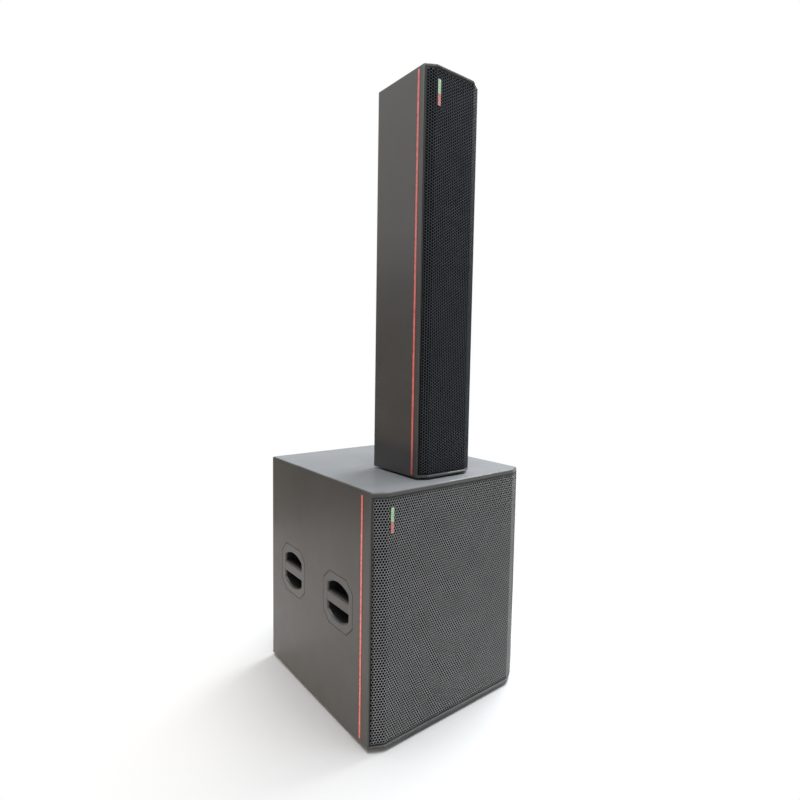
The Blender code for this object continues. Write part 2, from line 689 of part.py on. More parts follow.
def woofer(parent):
    """Bass driver: heights are measured forward from the baffle's front."""
    place = (0, SUB_BAFFLE_SETBACK - SUB_DEPTH / 2, woofer_middle_z())
    seat = CLEARANCE
    rim = seat + WOOFER_FLANGE
    back = seat - WOOFER_BASKET_DEPTH
    shoulder = seat - WOOFER_SHOULDER_DEPTH
    wall = WOOFER_BASKET_WALL
    throat = WOOFER_COIL_RADIUS + WOOFER_MAGNET_GAP + wall
    inner = WOOFER_CUTOUT_RADIUS - wall
    frame = turned(
        "woofer_frame",
        [
            (WOOFER_RADIUS, rim), (WOOFER_RADIUS, seat), (WOOFER_CUTOUT_RADIUS, seat),
            (WOOFER_CUTOUT_RADIUS, shoulder), (WOOFER_BASKET_BACK_RADIUS, back), (throat, back),
            (throat, back + wall), (WOOFER_BASKET_BACK_RADIUS - wall, back + wall),
            (inner, shoulder), (inner, rim),
        ],
        FINE_SIDES, parent, place, FRONT, CAST_METAL,
    )
    window = block(
        "woofer_window",
        (-WOOFER_RADIUS, -WOOFER_WINDOW_WIDTH / 2, back + 3 * wall),
        (WOOFER_RADIUS, WOOFER_WINDOW_WIDTH / 2, shoulder - wall),
    )
    for i in range(WOOFER_WINDOW_PAIRS):
        tool = add_object(f"woofer_window_{i}", window, frame)
        tool.rotation_euler = (0, 0, math.pi * i / WOOFER_WINDOW_PAIRS)
        combine(frame, tool)

    magnet_face = back - CLEARANCE
    gap_in = WOOFER_COIL_RADIUS - WOOFER_COIL_WALL - WOOFER_MAGNET_GAP
    gap_out = WOOFER_COIL_RADIUS + WOOFER_MAGNET_GAP
    gap_floor = magnet_face - WOOFER_MAGNET_GAP_DEPTH
    magnet_back = magnet_face - WOOFER_MAGNET_DEPTH
    turned(
        "woofer_magnet",
        [
            (0.0, magnet_face), (gap_in, magnet_face), (gap_in, gap_floor), (gap_out, gap_floor),
            (gap_out, magnet_face), (WOOFER_MAGNET_RADIUS, magnet_face), (WOOFER_MAGNET_RADIUS, magnet_back),
            (0.0, magnet_back),
        ],
        PLAIN_SIDES, parent, place, FRONT, MAGNET_METAL,
    )

    edge = rim - WOOFER_CONE_PAPER
    neck = edge - WOOFER_CONE_DEPTH
    coil_end = magnet_face - WOOFER_MAGNET_GAP_DEPTH / 2
    coil_in = WOOFER_COIL_RADIUS - WOOFER_COIL_WALL
    turned(
        "woofer_cone",
        [
            (WOOFER_CONE_RADIUS, rim), (WOOFER_CONE_RADIUS, edge),
            (WOOFER_COIL_RADIUS, neck - WOOFER_CONE_PAPER), (WOOFER_COIL_RADIUS, coil_end),
            (coil_in, coil_end), (coil_in, neck),
        ],
        FINE_SIDES, parent, place, FRONT, CONE_PAPER,
    )

    share = (WOOFER_CAP_RADIUS - coil_in) / (WOOFER_CONE_RADIUS - coil_in)
    cap_base = neck + share * (rim - neck) + 2 * CLEARANCE
    thin = WOOFER_CONE_PAPER
    outside = arc(WOOFER_CAP_RADIUS, WOOFER_CAP_RISE, 0.0, math.pi / 2, FINE_STEPS)[:-1]
    inside = arc(WOOFER_CAP_RADIUS - thin, WOOFER_CAP_RISE - thin, 0.0, math.pi / 2, FINE_STEPS)[:-1]
    dome = outside + [(0.0, WOOFER_CAP_RISE), (0.0, WOOFER_CAP_RISE - thin)] + inside[::-1]
    dome = [(r, cap_base + h) for r, h in dome]
    turned("woofer_dust_cap", dome, FINE_SIDES, parent, place, FRONT, CONE_PAPER)

    hinge_in = WOOFER_CONE_RADIUS + WOOFER_ROLL_SHEET + 2 * CLEARANCE
    hinge_out = WOOFER_CUTOUT_RADIUS - wall
    lip = (WOOFER_RADIUS + WOOFER_CUTOUT_RADIUS) / 2
    half = (hinge_out - hinge_in) / 2
    base = rim + CLEARANCE
    bend = arc(half, WOOFER_ROLL_HEIGHT, 0.0, math.pi, FINE_STEPS)
    roll = [(hinge_in + half + r, base + h) for r, h in bend]
    outline = ribbon([(lip, base)] + roll, -WOOFER_ROLL_SHEET)
    turned("woofer_surround", outline, FINE_SIDES, parent, place, FRONT, RUBBER)


def tray_point(across, along, out=0.0):
    """A place on the tray's floor as seen from behind, and how far out of it."""
    return (-across, SUB_DEPTH / 2 - TRAY_DEPTH + out, TRAY_MIDDLE_Z + along)


def amp_tray(parent, shell):
    """Folded tray with a rim flush in the back panel and holes in its floor."""
    place = (0, SUB_DEPTH / 2, TRAY_MIDDLE_Z)
    inner_width = TRAY_WIDTH - 2 * TRAY_RIM
    inner_height = TRAY_HEIGHT - 2 * TRAY_RIM
    rim = sheet("amp_tray", [rectangle(TRAY_WIDTH, TRAY_HEIGHT)], -TRAY_SHEET, 0.0)
    made = add_object("amp_tray", rim, parent, place, BACK, TRAY_METAL)
    outer = rectangle(inner_width + 2 * TRAY_SHEET, inner_height + 2 * TRAY_SHEET)
    join(made, sheet("amp_tray_box", [outer], -TRAY_DEPTH - TRAY_SHEET, -TRAY_SHEET / 2), place, BACK)
    recess = rectangle(inner_width, inner_height)
    cut(made, sheet("amp_tray_recess", [recess], -TRAY_DEPTH, OVERRUN), place, BACK)
    seat = rectangle(TRAY_WIDTH + 2 * SEAT_GAP, TRAY_HEIGHT + 2 * SEAT_GAP)
    cut(shell, sheet("amp_tray_seat", [seat], -TRAY_SHEET - CLEARANCE, OVERRUN), place, BACK)
    widen = 2 * (TRAY_SHEET + SEAT_GAP)
    opening = rectangle(inner_width + widen, inner_height + widen)
    cut(shell, sheet("amp_tray_opening", [opening], -SUB_PANEL - OVERRUN, OVERRUN), place, BACK)
    return made


def tray_hole(tray, name, outline, across, along):
    """A hole through the tray's floor."""
    tool = sheet(name + "_floor_hole", [outline], -TRAY_SHEET - OVERRUN / 2, OVERRUN / 2)
    cut(tray, tool, tray_point(across, along), BACK)


def heatsink(parent):
    """Finned plate on the tray's floor, with the amplifier module behind it."""
    pitch = (HEATSINK_WIDTH - HEATSINK_FIN) / (HEATSINK_FINS - 1)
    base = HEATSINK_BASE
    top = base + HEATSINK_FIN_HEIGHT
    outline = [(-HEATSINK_WIDTH / 2, CLEARANCE), (HEATSINK_WIDTH / 2, CLEARANCE)]
    for i in range(HEATSINK_FINS):
        right = HEATSINK_WIDTH / 2 - i * pitch
        left = right - HEATSINK_FIN
        outline += [(right, base), (right, top), (left, top), (left, base)]
    fins = sheet("amp_heatsink", [outline], -HEATSINK_HEIGHT / 2, HEATSINK_HEIGHT / 2)
    stand = Matrix(((1, 0, 0, 0), (0, 0, -1, 0), (0, 1, 0, 0), (0, 0, 0, 1)))
    fins.transform(stand)
    add_object("amp_heatsink", fins, parent, tray_point(0.0, HEATSINK_RISE), BACK, BARE_METAL)
    face = -TRAY_SHEET - CLEARANCE
    half_width = HEATSINK_WIDTH / 2 - MODULE_MARGIN
    half_height = HEATSINK_HEIGHT / 2 - MODULE_MARGIN
    low = (-half_width, -half_height, face - MODULE_DEPTH)
    module = block("amp_module", low, (half_width, half_height, face))
    add_object("amp_module", module, parent, tray_point(0.0, HEATSINK_RISE), BACK, TRAY_METAL)


def tray_controls(parent, tray):
    """Level knobs, the mode button, the line and speaker sockets."""
    gap = KNOB_SHAFT_RADIUS + RUNNING_GAP
    profile = [
        (0.0, KNOB_HEIGHT), (KNOB_TOP_RADIUS, KNOB_HEIGHT), (KNOB_RADIUS, RUNNING_GAP),
        (KNOB_SHAFT_RADIUS, RUNNING_GAP), (KNOB_SHAFT_RADIUS, -KNOB_SHAFT_REACH), (0.0, -KNOB_SHAFT_REACH),
    ]
    mesh = profile_mesh("level_knob", profile)
    uses = ("gain", "bass", "column")
    for i, use in enumerate(uses):
        across = KNOB_START + i * KNOB_PITCH
        name = f"{use}_level_knob"
        spun(name, mesh, SMALL_SIDES, parent, tray_point(across, KNOB_ROW), BACK, SOCKET_PLASTIC)
        tray_hole(tray, name, circle(gap, SMALL_SIDES), across, KNOB_ROW)

    across = KNOB_START + len(uses) * KNOB_PITCH
    collar_top = -TRAY_SHEET - CLEARANCE
    profile = [
        (0.0, BUTTON_REACH), (BUTTON_RADIUS, BUTTON_REACH), (BUTTON_RADIUS, collar_top),
        (BUTTON_COLLAR_RADIUS, collar_top), (BUTTON_COLLAR_RADIUS, collar_top - BUTTON_COLLAR),
        (BUTTON_RADIUS, collar_top - BUTTON_COLLAR), (BUTTON_RADIUS, -BUTTON_TAIL), (0.0, -BUTTON_TAIL),
    ]
    turned("mode_button", profile, SMALL_SIDES, parent, tray_point(across, KNOB_ROW), BACK, SOCKET_PLASTIC)
    tray_hole(tray, "mode_button", circle(BUTTON_RADIUS + RUNNING_GAP, SMALL_SIDES), across, KNOB_ROW)

    barrel_hole = circle(SOCKET_BARREL_RADIUS + SOCKET_GAP, SMALL_SIDES)
    names = ("line_in_left", "line_in_right", "line_out", "speaker_out_left", "speaker_out_right")
    for i, use in enumerate(names):
        name = f"{use}_socket"
        across = SOCKET_START + i * SOCKET_PITCH
        socket_body(name, parent, tray_point(across, SOCKET_ROW), BACK, use.startswith("speaker"))
        tray_hole(tray, name, barrel_hole, across, SOCKET_ROW)


def power_inlet(parent, tray):
    """Mains inlet with a rocker switch in the same moulding."""
    place = tray_point(INLET_X, INLET_ROW)
    face = CLEARANCE + INLET_FLANGE
    flange = sheet("power_inlet", [rectangle(INLET_HEIGHT, INLET_WIDTH)], CLEARANCE, face)
    made = add_object("power_inlet", flange, parent, place, BACK, SOCKET_PLASTIC)
    body_height = INLET_HEIGHT - 2 * INLET_BODY_MARGIN
    body_width = INLET_WIDTH - 2 * INLET_BODY_MARGIN
    body = rectangle(body_height, body_width)
    join(made, sheet("power_inlet_body", [body], -INLET_REACH, face - CLEARANCE), place, BACK)
    mouth = rectangle(INLET_MOUTH_HEIGHT, INLET_MOUTH_WIDTH, -INLET_MOUTH_DROP)
    cut(made, sheet("power_inlet_mouth", [mouth], face - INLET_MOUTH_DEPTH, face + OVERRUN), place, BACK)
    slot = rectangle(ROCKER_HEIGHT + 2 * ROCKER_GAP, ROCKER_WIDTH + 2 * ROCKER_GAP, ROCKER_RISE)
    cut(made, sheet("power_inlet_slot", [slot], face - ROCKER_SLOT_DEPTH, face + OVERRUN), place, BACK)
    opening = rectangle(body_height + 2 * SOCKET_GAP, body_width + 2 * SOCKET_GAP)
    tray_hole(tray, "power_inlet", opening, INLET_X, INLET_ROW)
    rocker = block(
        "power_switch",
        (-ROCKER_HEIGHT / 2, -ROCKER_WIDTH / 2, -ROCKER_THICKNESS / 2),
        (ROCKER_HEIGHT / 2, ROCKER_WIDTH / 2, ROCKER_THICKNESS / 2),
    )
    pivot = tray_point(INLET_X + ROCKER_RISE, INLET_ROW, face)
    switch = add_object("power_switch", rocker, parent, pivot, BACK, SOCKET_PLASTIC)
    switch.rotation_euler.z += math.radians(ROCKER_TILT_DEG)


def build_subwoofer():
    base = bpy.data.objects.new("subwoofer", None)
    PARTS.objects.link(base)
    base.location = (0, 0, SUB_FOOT_HEIGHT)
    shell = cabinet(
        "sub_cabinet", base, SUB_WIDTH, SUB_DEPTH, SUB_HEIGHT,
        SUB_CHAMFER_X, SUB_CHAMFER_Y, SUB_PANEL, SUB_LIP,
    )
    grille("sub_grille", base, SUB_WIDTH, SUB_DEPTH, SUB_HEIGHT, SUB_CHAMFER_X, SUB_CHAMFER_Y, SUB_LIP)
    accents(
        "sub_accent", base, shell, SUB_WIDTH, SUB_DEPTH, SUB_HEIGHT,
        SUB_ACCENT_SETBACK, SUB_ACCENT_MARGIN,
    )
    bar_x = SUB_CHAMFER_X + SUB_LEVEL_BAR_FROM_FOLD - SUB_WIDTH / 2
    level_bar("sub_level_bar", base, bar_x, SUB_DEPTH, SUB_HEIGHT - SUB_LEVEL_BAR_DROP)
    feet(
        "sub_foot", base, SUB_WIDTH, SUB_DEPTH, SUB_FOOT_INSET,
        SUB_FOOT_RADIUS, SUB_FOOT_TIP_RADIUS, SUB_FOOT_HEIGHT,
    )
    sub_handles(base, shell)
    pole_socket("sub_pole_socket", base, shell, (0, column_middle_y(), SUB_HEIGHT), UP, SUB_PANEL)
    sub_baffle(base)
    sub_ports(base)
    woofer(base)
    tray = amp_tray(base, shell)
    heatsink(base)
    tray_controls(base, tray)
    power_inlet(base, tray)


# Column


def column_middle_y():
    return COLUMN_SETBACK + COLUMN_DEPTH / 2 - SUB_DEPTH / 2


def driver_places():
    """Heights of the cone drivers on the column, below and above the horn in its middle."""
    middle = COLUMN_HEIGHT / 2
    first = HORN_HEIGHT / 2 + DRIVER_RADIUS + CLEARANCE
    steps = [first + i * DRIVER_PITCH for i in range(DRIVER_COUNT_EACH_SIDE)]
    return [middle - step for step in reversed(steps)] + [middle + step for step in steps]


def column_baffle(parent):
    width = COLUMN_WIDTH - 2 * COLUMN_PANEL - 2 * CLEARANCE
    height = COLUMN_HEIGHT - 2 * COLUMN_PANEL - 2 * CLEARANCE
    outlines = [rectangle(width, height, 0.0, COLUMN_HEIGHT / 2)]
    for z in driver_places():
        outlines.append(circle(DRIVER_CUTOUT_RADIUS + CLEARANCE, PLAIN_SIDES, 0.0, z))
    trim = 2 * (HORN_RIM - CLEARANCE)
    outlines.append(rectangle(HORN_WIDTH - trim, HORN_HEIGHT - trim, 0.0, COLUMN_HEIGHT / 2))
    board = sheet("column_baffle", outlines, -COLUMN_PANEL, 0.0)
    y = COLUMN_BAFFLE_SETBACK - COLUMN_DEPTH / 2
    add_object("column_baffle", board, parent, (0, y, 0), FRONT, BARE_WOOD)


def column_drivers(parent):
    """Cone drivers: a frame with its magnet and roll surround, and a cone that moves in it."""
    seat = CLEARANCE
    rim = seat + DRIVER_FLANGE
    wall = DRIVER_BASKET_WALL
    back = seat - DRIVER_BASKET_DEPTH
    shoulder = seat - DRIVER_SHOULDER_DEPTH
    roll_in = DRIVER_CONE_RADIUS + 2 * CLEARANCE
    half = DRIVER_ROLL_WIDTH / 2
    bend = arc(half, DRIVER_ROLL_HEIGHT, math.pi, 0.0, PLAIN_STEPS)
    frame = profile_mesh(
        "column_driver_frame",
        [
            (DRIVER_RADIUS, rim), (DRIVER_RADIUS, seat), (DRIVER_CUTOUT_RADIUS, seat),
            (DRIVER_CUTOUT_RADIUS, shoulder), (DRIVER_MAGNET_RADIUS, back),
            (DRIVER_MAGNET_RADIUS, back - DRIVER_MAGNET_DEPTH), (0.0, back - DRIVER_MAGNET_DEPTH),
            (0.0, back + wall), (DRIVER_MAGNET_RADIUS - wall, back + wall),
            (DRIVER_CUTOUT_RADIUS - wall, shoulder), (DRIVER_CUTOUT_RADIUS - wall, seat), (roll_in, seat),
            *[(roll_in + half + r, rim + h) for r, h in bend],
        ],
    )
    edge = rim - DRIVER_CONE_PAPER
    neck = rim - DRIVER_CONE_DEPTH
    cap_height = neck + DRIVER_CONE_DEPTH * DRIVER_CAP_RADIUS / DRIVER_CONE_RADIUS
    dome = arc(DRIVER_CAP_RADIUS, DRIVER_CAP_RISE, 0.0, math.pi / 2, PLAIN_STEPS)[:-1]
    cone = profile_mesh(
        "column_driver_cone",
        [
            (DRIVER_CONE_RADIUS, rim), (DRIVER_CONE_RADIUS, edge), (DRIVER_COIL_RADIUS, neck),
            (0.0, neck), (0.0, cap_height + DRIVER_CAP_RISE),
            *[(r, cap_height + h) for r, h in dome[::-1]],
        ],
    )
    y = COLUMN_BAFFLE_SETBACK - COLUMN_DEPTH / 2
    for i, z in enumerate(driver_places(), 1):
        spun(f"column_driver_frame_{i}", frame, PLAIN_SIDES, parent, (0, y, z), FRONT, CAST_METAL)
        spun(f"column_driver_cone_{i}", cone, PLAIN_SIDES, parent, (0, y, z), FRONT, CONE_PAPER)


def frustum(name, front, back, low, high):
    """A four-sided taper along Z between a front and a back rectangle, given as (width, height)."""

    def build(shape):
        made = bmesh.ops.create_cube(shape, size=2.0)
        for corner in made["verts"]:
            width, height = front if corner.co.z > 0 else back
            corner.co.x *= width / 2
            corner.co.y *= height / 2
            corner.co.z = high if corner.co.z > 0 else low

    return mesh_of(name, build)


def column_horn(parent):
    """Square horn in the middle of the column with its compression driver behind."""
    place = (0, COLUMN_BAFFLE_SETBACK - COLUMN_DEPTH / 2, COLUMN_HEIGHT / 2)
    seat = CLEARANCE
    flange = sheet("column_horn", [rectangle(HORN_WIDTH, HORN_HEIGHT)], seat, seat + HORN_FLANGE)
    made = add_object("column_horn", flange, parent, place, FRONT, SOCKET_PLASTIC)
    mouth = (HORN_WIDTH - 2 * HORN_RIM, HORN_HEIGHT - 2 * HORN_RIM)
    back = seat - HORN_DEPTH
    throat = HORN_THROAT + 2 * HORN_WALL
    body = frustum("column_horn_body", mouth, (throat, throat), back, seat + HORN_FLANGE / 2)
    join(made, body, place, FRONT)
    inside = (mouth[0] - 2 * HORN_WALL, mouth[1] - 2 * HORN_WALL)
    outlet = (HORN_THROAT, HORN_THROAT)
    front = seat + HORN_FLANGE + CLEARANCE
    cut(made, frustum("column_horn_hollow", inside, outlet, back - CLEARANCE, front), place, FRONT)
    face = back - CLEARANCE
    end = face - TWEETER_DEPTH
    profile = [
        (0.0, face), (TWEETER_RADIUS, face), (TWEETER_RADIUS, end + TWEETER_CHAMFER),
        (TWEETER_RADIUS - TWEETER_CHAMFER, end), (0.0, end),
    ]
    turned("column_tweeter", profile, PLAIN_SIDES, parent, place, FRONT, MAGNET_METAL)


def column_plate(parent, shell):
    """Connection plate let into the back panel, with one speaker socket."""
    place = (0, COLUMN_DEPTH / 2, PLATE_RISE)
    outlines = [rectangle(PLATE_WIDTH, PLATE_HEIGHT), circle(SOCKET_BARREL_RADIUS + SOCKET_GAP, SMALL_SIDES)]
    recess = SOCKET_FLANGE + 2 * CLEARANCE
    floor = -recess - PLATE_SHEET
    plate = sheet("column_plate", outlines, floor, -recess)
    add_object("column_plate", plate, parent, place, BACK, TRAY_METAL)
    seat = rectangle(PLATE_WIDTH + 2 * SEAT_GAP, PLATE_HEIGHT + 2 * SEAT_GAP)
    cut(shell, sheet("column_plate_seat", [seat], floor - CLEARANCE, OVERRUN), place, BACK)
    trim = 2 * PLATE_OPENING_MARGIN
    opening = rectangle(PLATE_WIDTH - trim, PLATE_HEIGHT - trim)
    cut(shell, sheet("column_plate_opening", [opening], -COLUMN_PANEL - OVERRUN, OVERRUN), place, BACK)
    socket_body("column_input_socket", parent, (0, COLUMN_DEPTH / 2 - recess, PLATE_RISE), BACK, True)


def build_column():
    base = bpy.data.objects.new("column", None)
    PARTS.objects.link(base)
    base.location = (0, column_middle_y(), SUB_FOOT_HEIGHT + SUB_HEIGHT + COLUMN_FOOT_HEIGHT)
    shell = cabinet(
        "column_cabinet", base, COLUMN_WIDTH, COLUMN_DEPTH, COLUMN_HEIGHT,
        COLUMN_CHAMFER_X, COLUMN_CHAMFER_Y, COLUMN_PANEL, COLUMN_LIP,
    )
    grille(
        "column_grille", base, COLUMN_WIDTH, COLUMN_DEPTH, COLUMN_HEIGHT,
        COLUMN_CHAMFER_X, COLUMN_CHAMFER_Y, COLUMN_LIP,
    )
    accents(
        "column_accent", base, shell, COLUMN_WIDTH, COLUMN_DEPTH, COLUMN_HEIGHT,
        COLUMN_ACCENT_SETBACK, COLUMN_ACCENT_MARGIN,
    )
    bar_x = COLUMN_CHAMFER_X + COLUMN_LEVEL_BAR_FROM_FOLD - COLUMN_WIDTH / 2
    level_bar("column_level_bar", base, bar_x, COLUMN_DEPTH, COLUMN_HEIGHT - COLUMN_LEVEL_BAR_DROP)
    feet(
        "column_foot", base, COLUMN_WIDTH, COLUMN_DEPTH, COLUMN_FOOT_INSET,
        COLUMN_FOOT_RADIUS, COLUMN_FOOT_TIP_RADIUS, COLUMN_FOOT_HEIGHT - CLEARANCE,
    )
    pole_socket("column_pole_socket", base, shell, (0, 0, 0), DOWN, COLUMN_PANEL)
    column_baffle(base)
    column_drivers(base)
    column_horn(base)
    column_plate(base, shell)


build_subwoofer()
build_column()
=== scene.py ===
"""Looks of the column PA system: finishes, perforated grilles, lamp bars and the fittings at the back."""

import json
import math

import bmesh
import bpy
import numpy as np
from mathutils import Matrix, Vector


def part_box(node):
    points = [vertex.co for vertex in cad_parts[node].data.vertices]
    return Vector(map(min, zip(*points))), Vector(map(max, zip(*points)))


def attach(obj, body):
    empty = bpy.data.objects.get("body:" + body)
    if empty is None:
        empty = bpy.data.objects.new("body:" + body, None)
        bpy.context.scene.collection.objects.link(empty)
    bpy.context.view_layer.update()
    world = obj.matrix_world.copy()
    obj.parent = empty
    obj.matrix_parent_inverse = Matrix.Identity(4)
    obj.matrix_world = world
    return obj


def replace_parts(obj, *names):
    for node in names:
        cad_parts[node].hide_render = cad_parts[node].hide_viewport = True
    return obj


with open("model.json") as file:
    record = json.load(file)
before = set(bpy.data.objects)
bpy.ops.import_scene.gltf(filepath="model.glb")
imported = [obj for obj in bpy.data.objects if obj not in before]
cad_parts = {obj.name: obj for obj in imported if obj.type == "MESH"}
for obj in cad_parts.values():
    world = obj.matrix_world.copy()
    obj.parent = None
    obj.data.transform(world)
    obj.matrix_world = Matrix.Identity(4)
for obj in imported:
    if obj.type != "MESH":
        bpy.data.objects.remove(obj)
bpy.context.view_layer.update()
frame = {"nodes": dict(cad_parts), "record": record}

SUB = "subwoofer"
COLUMN = "column"

# Camera, fitted to the cabinet edges in the photograph
CAMERA_PLACE = (-1.0656, -1.3306, 1.0559)
CAMERA_YAW = math.radians(36.540)
CAMERA_PITCH = math.radians(-4.360)
CAMERA_ROLL = math.radians(0.726)
CAMERA_SENSOR = 36.0
CAMERA_LENS = 23.615
CAMERA_SHIFT = (0.0327, -0.0072)

# Edges flatter than these angles are shaded smooth
SMOOTH_CABINET = 28
SMOOTH_BEAD = 50
SMOOTH = 40

# Points of a CAD solid closer than WELD become one point, and faces within FLAT of each other one face
WELD = 1e-5
FLAT = math.radians(0.5)

# Rounding of the cabinets' outer edges
SUB_CHAMFER = (0.041, 0.021)
COLUMN_CHAMFER = (0.031, 0.017)
SUB_ROUND = 0.0055
COLUMN_ROUND = 0.0035
ROUND_STEPS = 4

# Perforated sheets: pitch and radius of the holes, width of each folded side, plain border at the sides and
# the ends. Cell corners closer than CELL_MEET of the pitch become one
SHEET = 0.0012
SUB_HOLES = (0.0081, 0.0039)
SUB_FOLD = 0.0385
SUB_BORDER = (0.002, 0.003)
COLUMN_HOLES = (0.0081, 0.00405)
COLUMN_FOLD = 0.0285
COLUMN_BORDER = (0.002, 0.002)
CELL_MEET = 1 / 20
CREASE_REACH = 1e-7
FOAM_SETBACK = 0.0025
FOAM_THICKNESS = 0.004
FOAM_CELLS = 24

# Lamp bars
LAMP_RIM = 0.0010
LAMP_GAP = 0.0008
LAMP_COUNT = 11
LAMP_GREEN_COUNT = 6
LAMP_ROUND = 0.0004
BEZEL_ROUND = 0.0003

# Accent beads
BEAD_LAP = 0.0007
BEAD_RISE = 0.0010
BEAD_EDGE = 0.0004
BEAD_EDGE_WIDTH = 0.0018
BEAD_STEPS = 8

# Handles: cut-off corners of the plate, arched pocket, round bar across it and soft lip round it
HANDLE_CORNER = 0.030
HANDLE_FLANGE = 0.003
HANDLE_WALL = 0.003
HANDLE_POCKET = (0.106, 0.110)
HANDLE_RISE = 0.017
HANDLE_POCKET_CORNER = 0.008
HANDLE_CORNER_STEPS = 5
HANDLE_ARC_STEPS = 8
HANDLE_LIP = 0.0055
HANDLE_LIP_STEPS = 6
HANDLE_SEAM = 0.0010
# Deeper than this, the pocket's walls and floor take painted shade
HANDLE_SHADE_DEPTH = 0.008
HANDLE_BAR = (0.035, 0.022)
HANDLE_BAR_ROUND = 0.006
HANDLE_BAR_STEPS = 6
HANDLE_BAR_SETBACK = 0.0005

# Amplifier tray and column plate: screws as inset from the edge, with how many up and across each side
TRAY_DEPTH = 0.030
TRAY_SCREWS = (0.009, 4, 3)
PLATE_SCREWS = (0.008, 2, 2)

# Screw heads: radius and rise, and the section of a head in shares of these
SCREW = (0.0042, 0.0018)
SMALL_SCREW = (0.0018, 0.0008)
SCREW_SECTION = ((1.0, 0.0), (1.0, 0.3), (0.85, 0.85), (0.62, 1.0), (0.5, 1.0), (0.5, 0.3), (0.0, 0.3))
SCREW_SIDES = 12

# Knobs and button: radius and reach of the shaft; skirt as (radius, height), tops as (radius, depth below
# the top); nut as inner radius, outer radius and rise
KNOB_SHAFT = (0.003, 0.010)
KNOB_GAP = 0.0004
KNOB_SKIRT = ((0.0085, KNOB_GAP), (0.0085, 0.0030), (0.0073, 0.0042))
KNOB_TOP = ((0.0069, 0.0015), (0.0060, 0.0), (0.0, 0.0))
KNOB_FLUTES = 18
KNOB_FLUTE_DEPTH = 0.0006
KNOB_SIDES = 4 * KNOB_FLUTES
POINTER_WIDTH = 0.0012
POINTER_SPAN = (0.0010, 0.0062)
POINTER_RISE = 0.0002
BUTTON_REACH = 0.010
BUTTON_TOP = ((0.0045, 0.0015), (0.0040, 0.0005), (0.0022, 0.0), (0.0, 0.0))
BUTTON_SIDES = 24
NUT = (0.0050, 0.0078, 0.0010)
RING_SIDES = 24

# Print on the tray: scales round the knobs, and frames round the sockets
TICKS = 11
TICK_TURN = math.radians(150)
TICK_RADIUS = 0.0125
TICK_SIZE = (0.0008, 0.0022)
PRINT = 0.00015
PRINT_LINE = 0.0008
PRINT_MARGIN = 0.004

# Sockets: rings as inner radius, outer radius and rise; boxes as two corners
SOCKET_SCREW_SPREAD = (0.0105, 0.0125)
LINE_RECESS = 0.0015
LINE_RING = (0.0095, 0.0115, 0.0010)
LINE_PIN = (0.0009, 0.0017, 0.0006)
LINE_PIN_RADIUS = 0.0045
LINE_PIN_ANGLES = (30, 150, 270)
LINE_PIN_SIDES = 12
LINE_TAB = ((-0.003, 0.0062, 0.0), (0.003, 0.0088, 0.0024))
LINE_TAB_ROUND = 0.0004
SPEAKER_RING = (0.0105, 0.0122, 0.0012)
SPEAKER_POST = 0.0067
SPEAKER_POST_RING = (SPEAKER_POST - 0.0022, SPEAKER_POST - 0.0004, 0.0006)
SPEAKER_CONTACT = ((SPEAKER_POST + 0.0002, -0.0016, -0.009), (SPEAKER_POST + 0.0010, 0.0016, -0.001))
SPEAKER_CONTACTS = 4
INLET_MOUTH = 0.091
INLET_MOUTH_DEPTH = 0.015
INLET_BLADES = ((-0.0025, -0.007), (-0.0025, 0.007), (0.0025, 0.0))
INLET_BLADE = (0.0045, 0.0020, 0.012)
INLET_BLADE_ROUND = 0.0004

# Rocker: half its size, how deep it sits, height of the middle of its dish and rise of the ends above that
ROCKER_PIVOT = (0.0685, 0.2688, 0.300)
ROCKER_TILT = math.radians(9)
ROCKER_HALF = (0.0065, 0.00925)
ROCKER_SEAT = 0.0022
ROCKER_DISH = (0.0010, 0.0012)
ROCKER_STEPS = 8
ROCKER_LINE = ((-0.0052, -0.0022, 0.0016), (-0.0044, 0.0022, 0.0021))
ROCKER_RING = (0.0010, 0.0017, 0.0004)
ROCKER_RING_PLACE = (0.0036, 0.0, 0.00127)
ROCKER_RING_SIDES = 16

# Stage: floor grey near the object, fading to white between two distances; card as place, aim and size
FLOOR_REACH = 40.0
FLOOR_GREY = 0.80
FLOOR_ROUGHNESS = 0.9
FLOOR_SPECULAR = 0.1
FLOOR_FADE = (0.30, 1.0)
WORLD_LIGHT = 0.30
CARD_GREY = 0.05
CARD_ROUGHNESS = 0.9
CARD = ((-1.20, 1.20, 0.80), (-0.3, 0.0, 0.80), (1.5, 1.5))

# Lamps: place, aim, size, power and colour
OVERHEAD = ((0.0, -0.6, 4.2), (0.0, 0.0, 0.7), (3.2, 3.2), 165.0, (0.96, 0.98, 1.0))
EDGE_LIGHT = ((2.9, 0.3, 3.8), (0.0, 0.0, 0.7), (2.8, 1.2), 180.0, (0.94, 0.98, 1.0))
LOW_LEFT = ((-1.4, 0.5, 0.14), (-0.3, 0.2, 0.1), (0.8, 0.26), 10.0, (1.0, 0.80, 0.60))
GLINT = ((-1.7, 0.2, 3.4), (-0.3, 0.0, 0.35), (1.0, 1.0), 40.0, (1.0, 1.0, 1.0))

# Finishes: the part of its range that noise fills, its levels of detail, how far up a normal has to point
# to count as looking up, and the strength of every relief
NOISE_SPAN = (0.3, 0.7)
PATCH_DETAIL = 4.0
GLOSS_DETAIL = 3.0
GRAIN_DETAIL = (2.0, 1.0)
LOOKS_UP = (0.85, 0.99)
BUMP_STRENGTH = 0.5

# Brushed metal and stained plywood: size, detail, stretch and depth of the lines or grain
BRUSHING = (0.0015, 4.0, (1.0, 1.0, 0.04), 0.00002)
WOOD_GRAIN = (0.010, 5.0, (6.0, 6.0, 0.5), 0.00015)
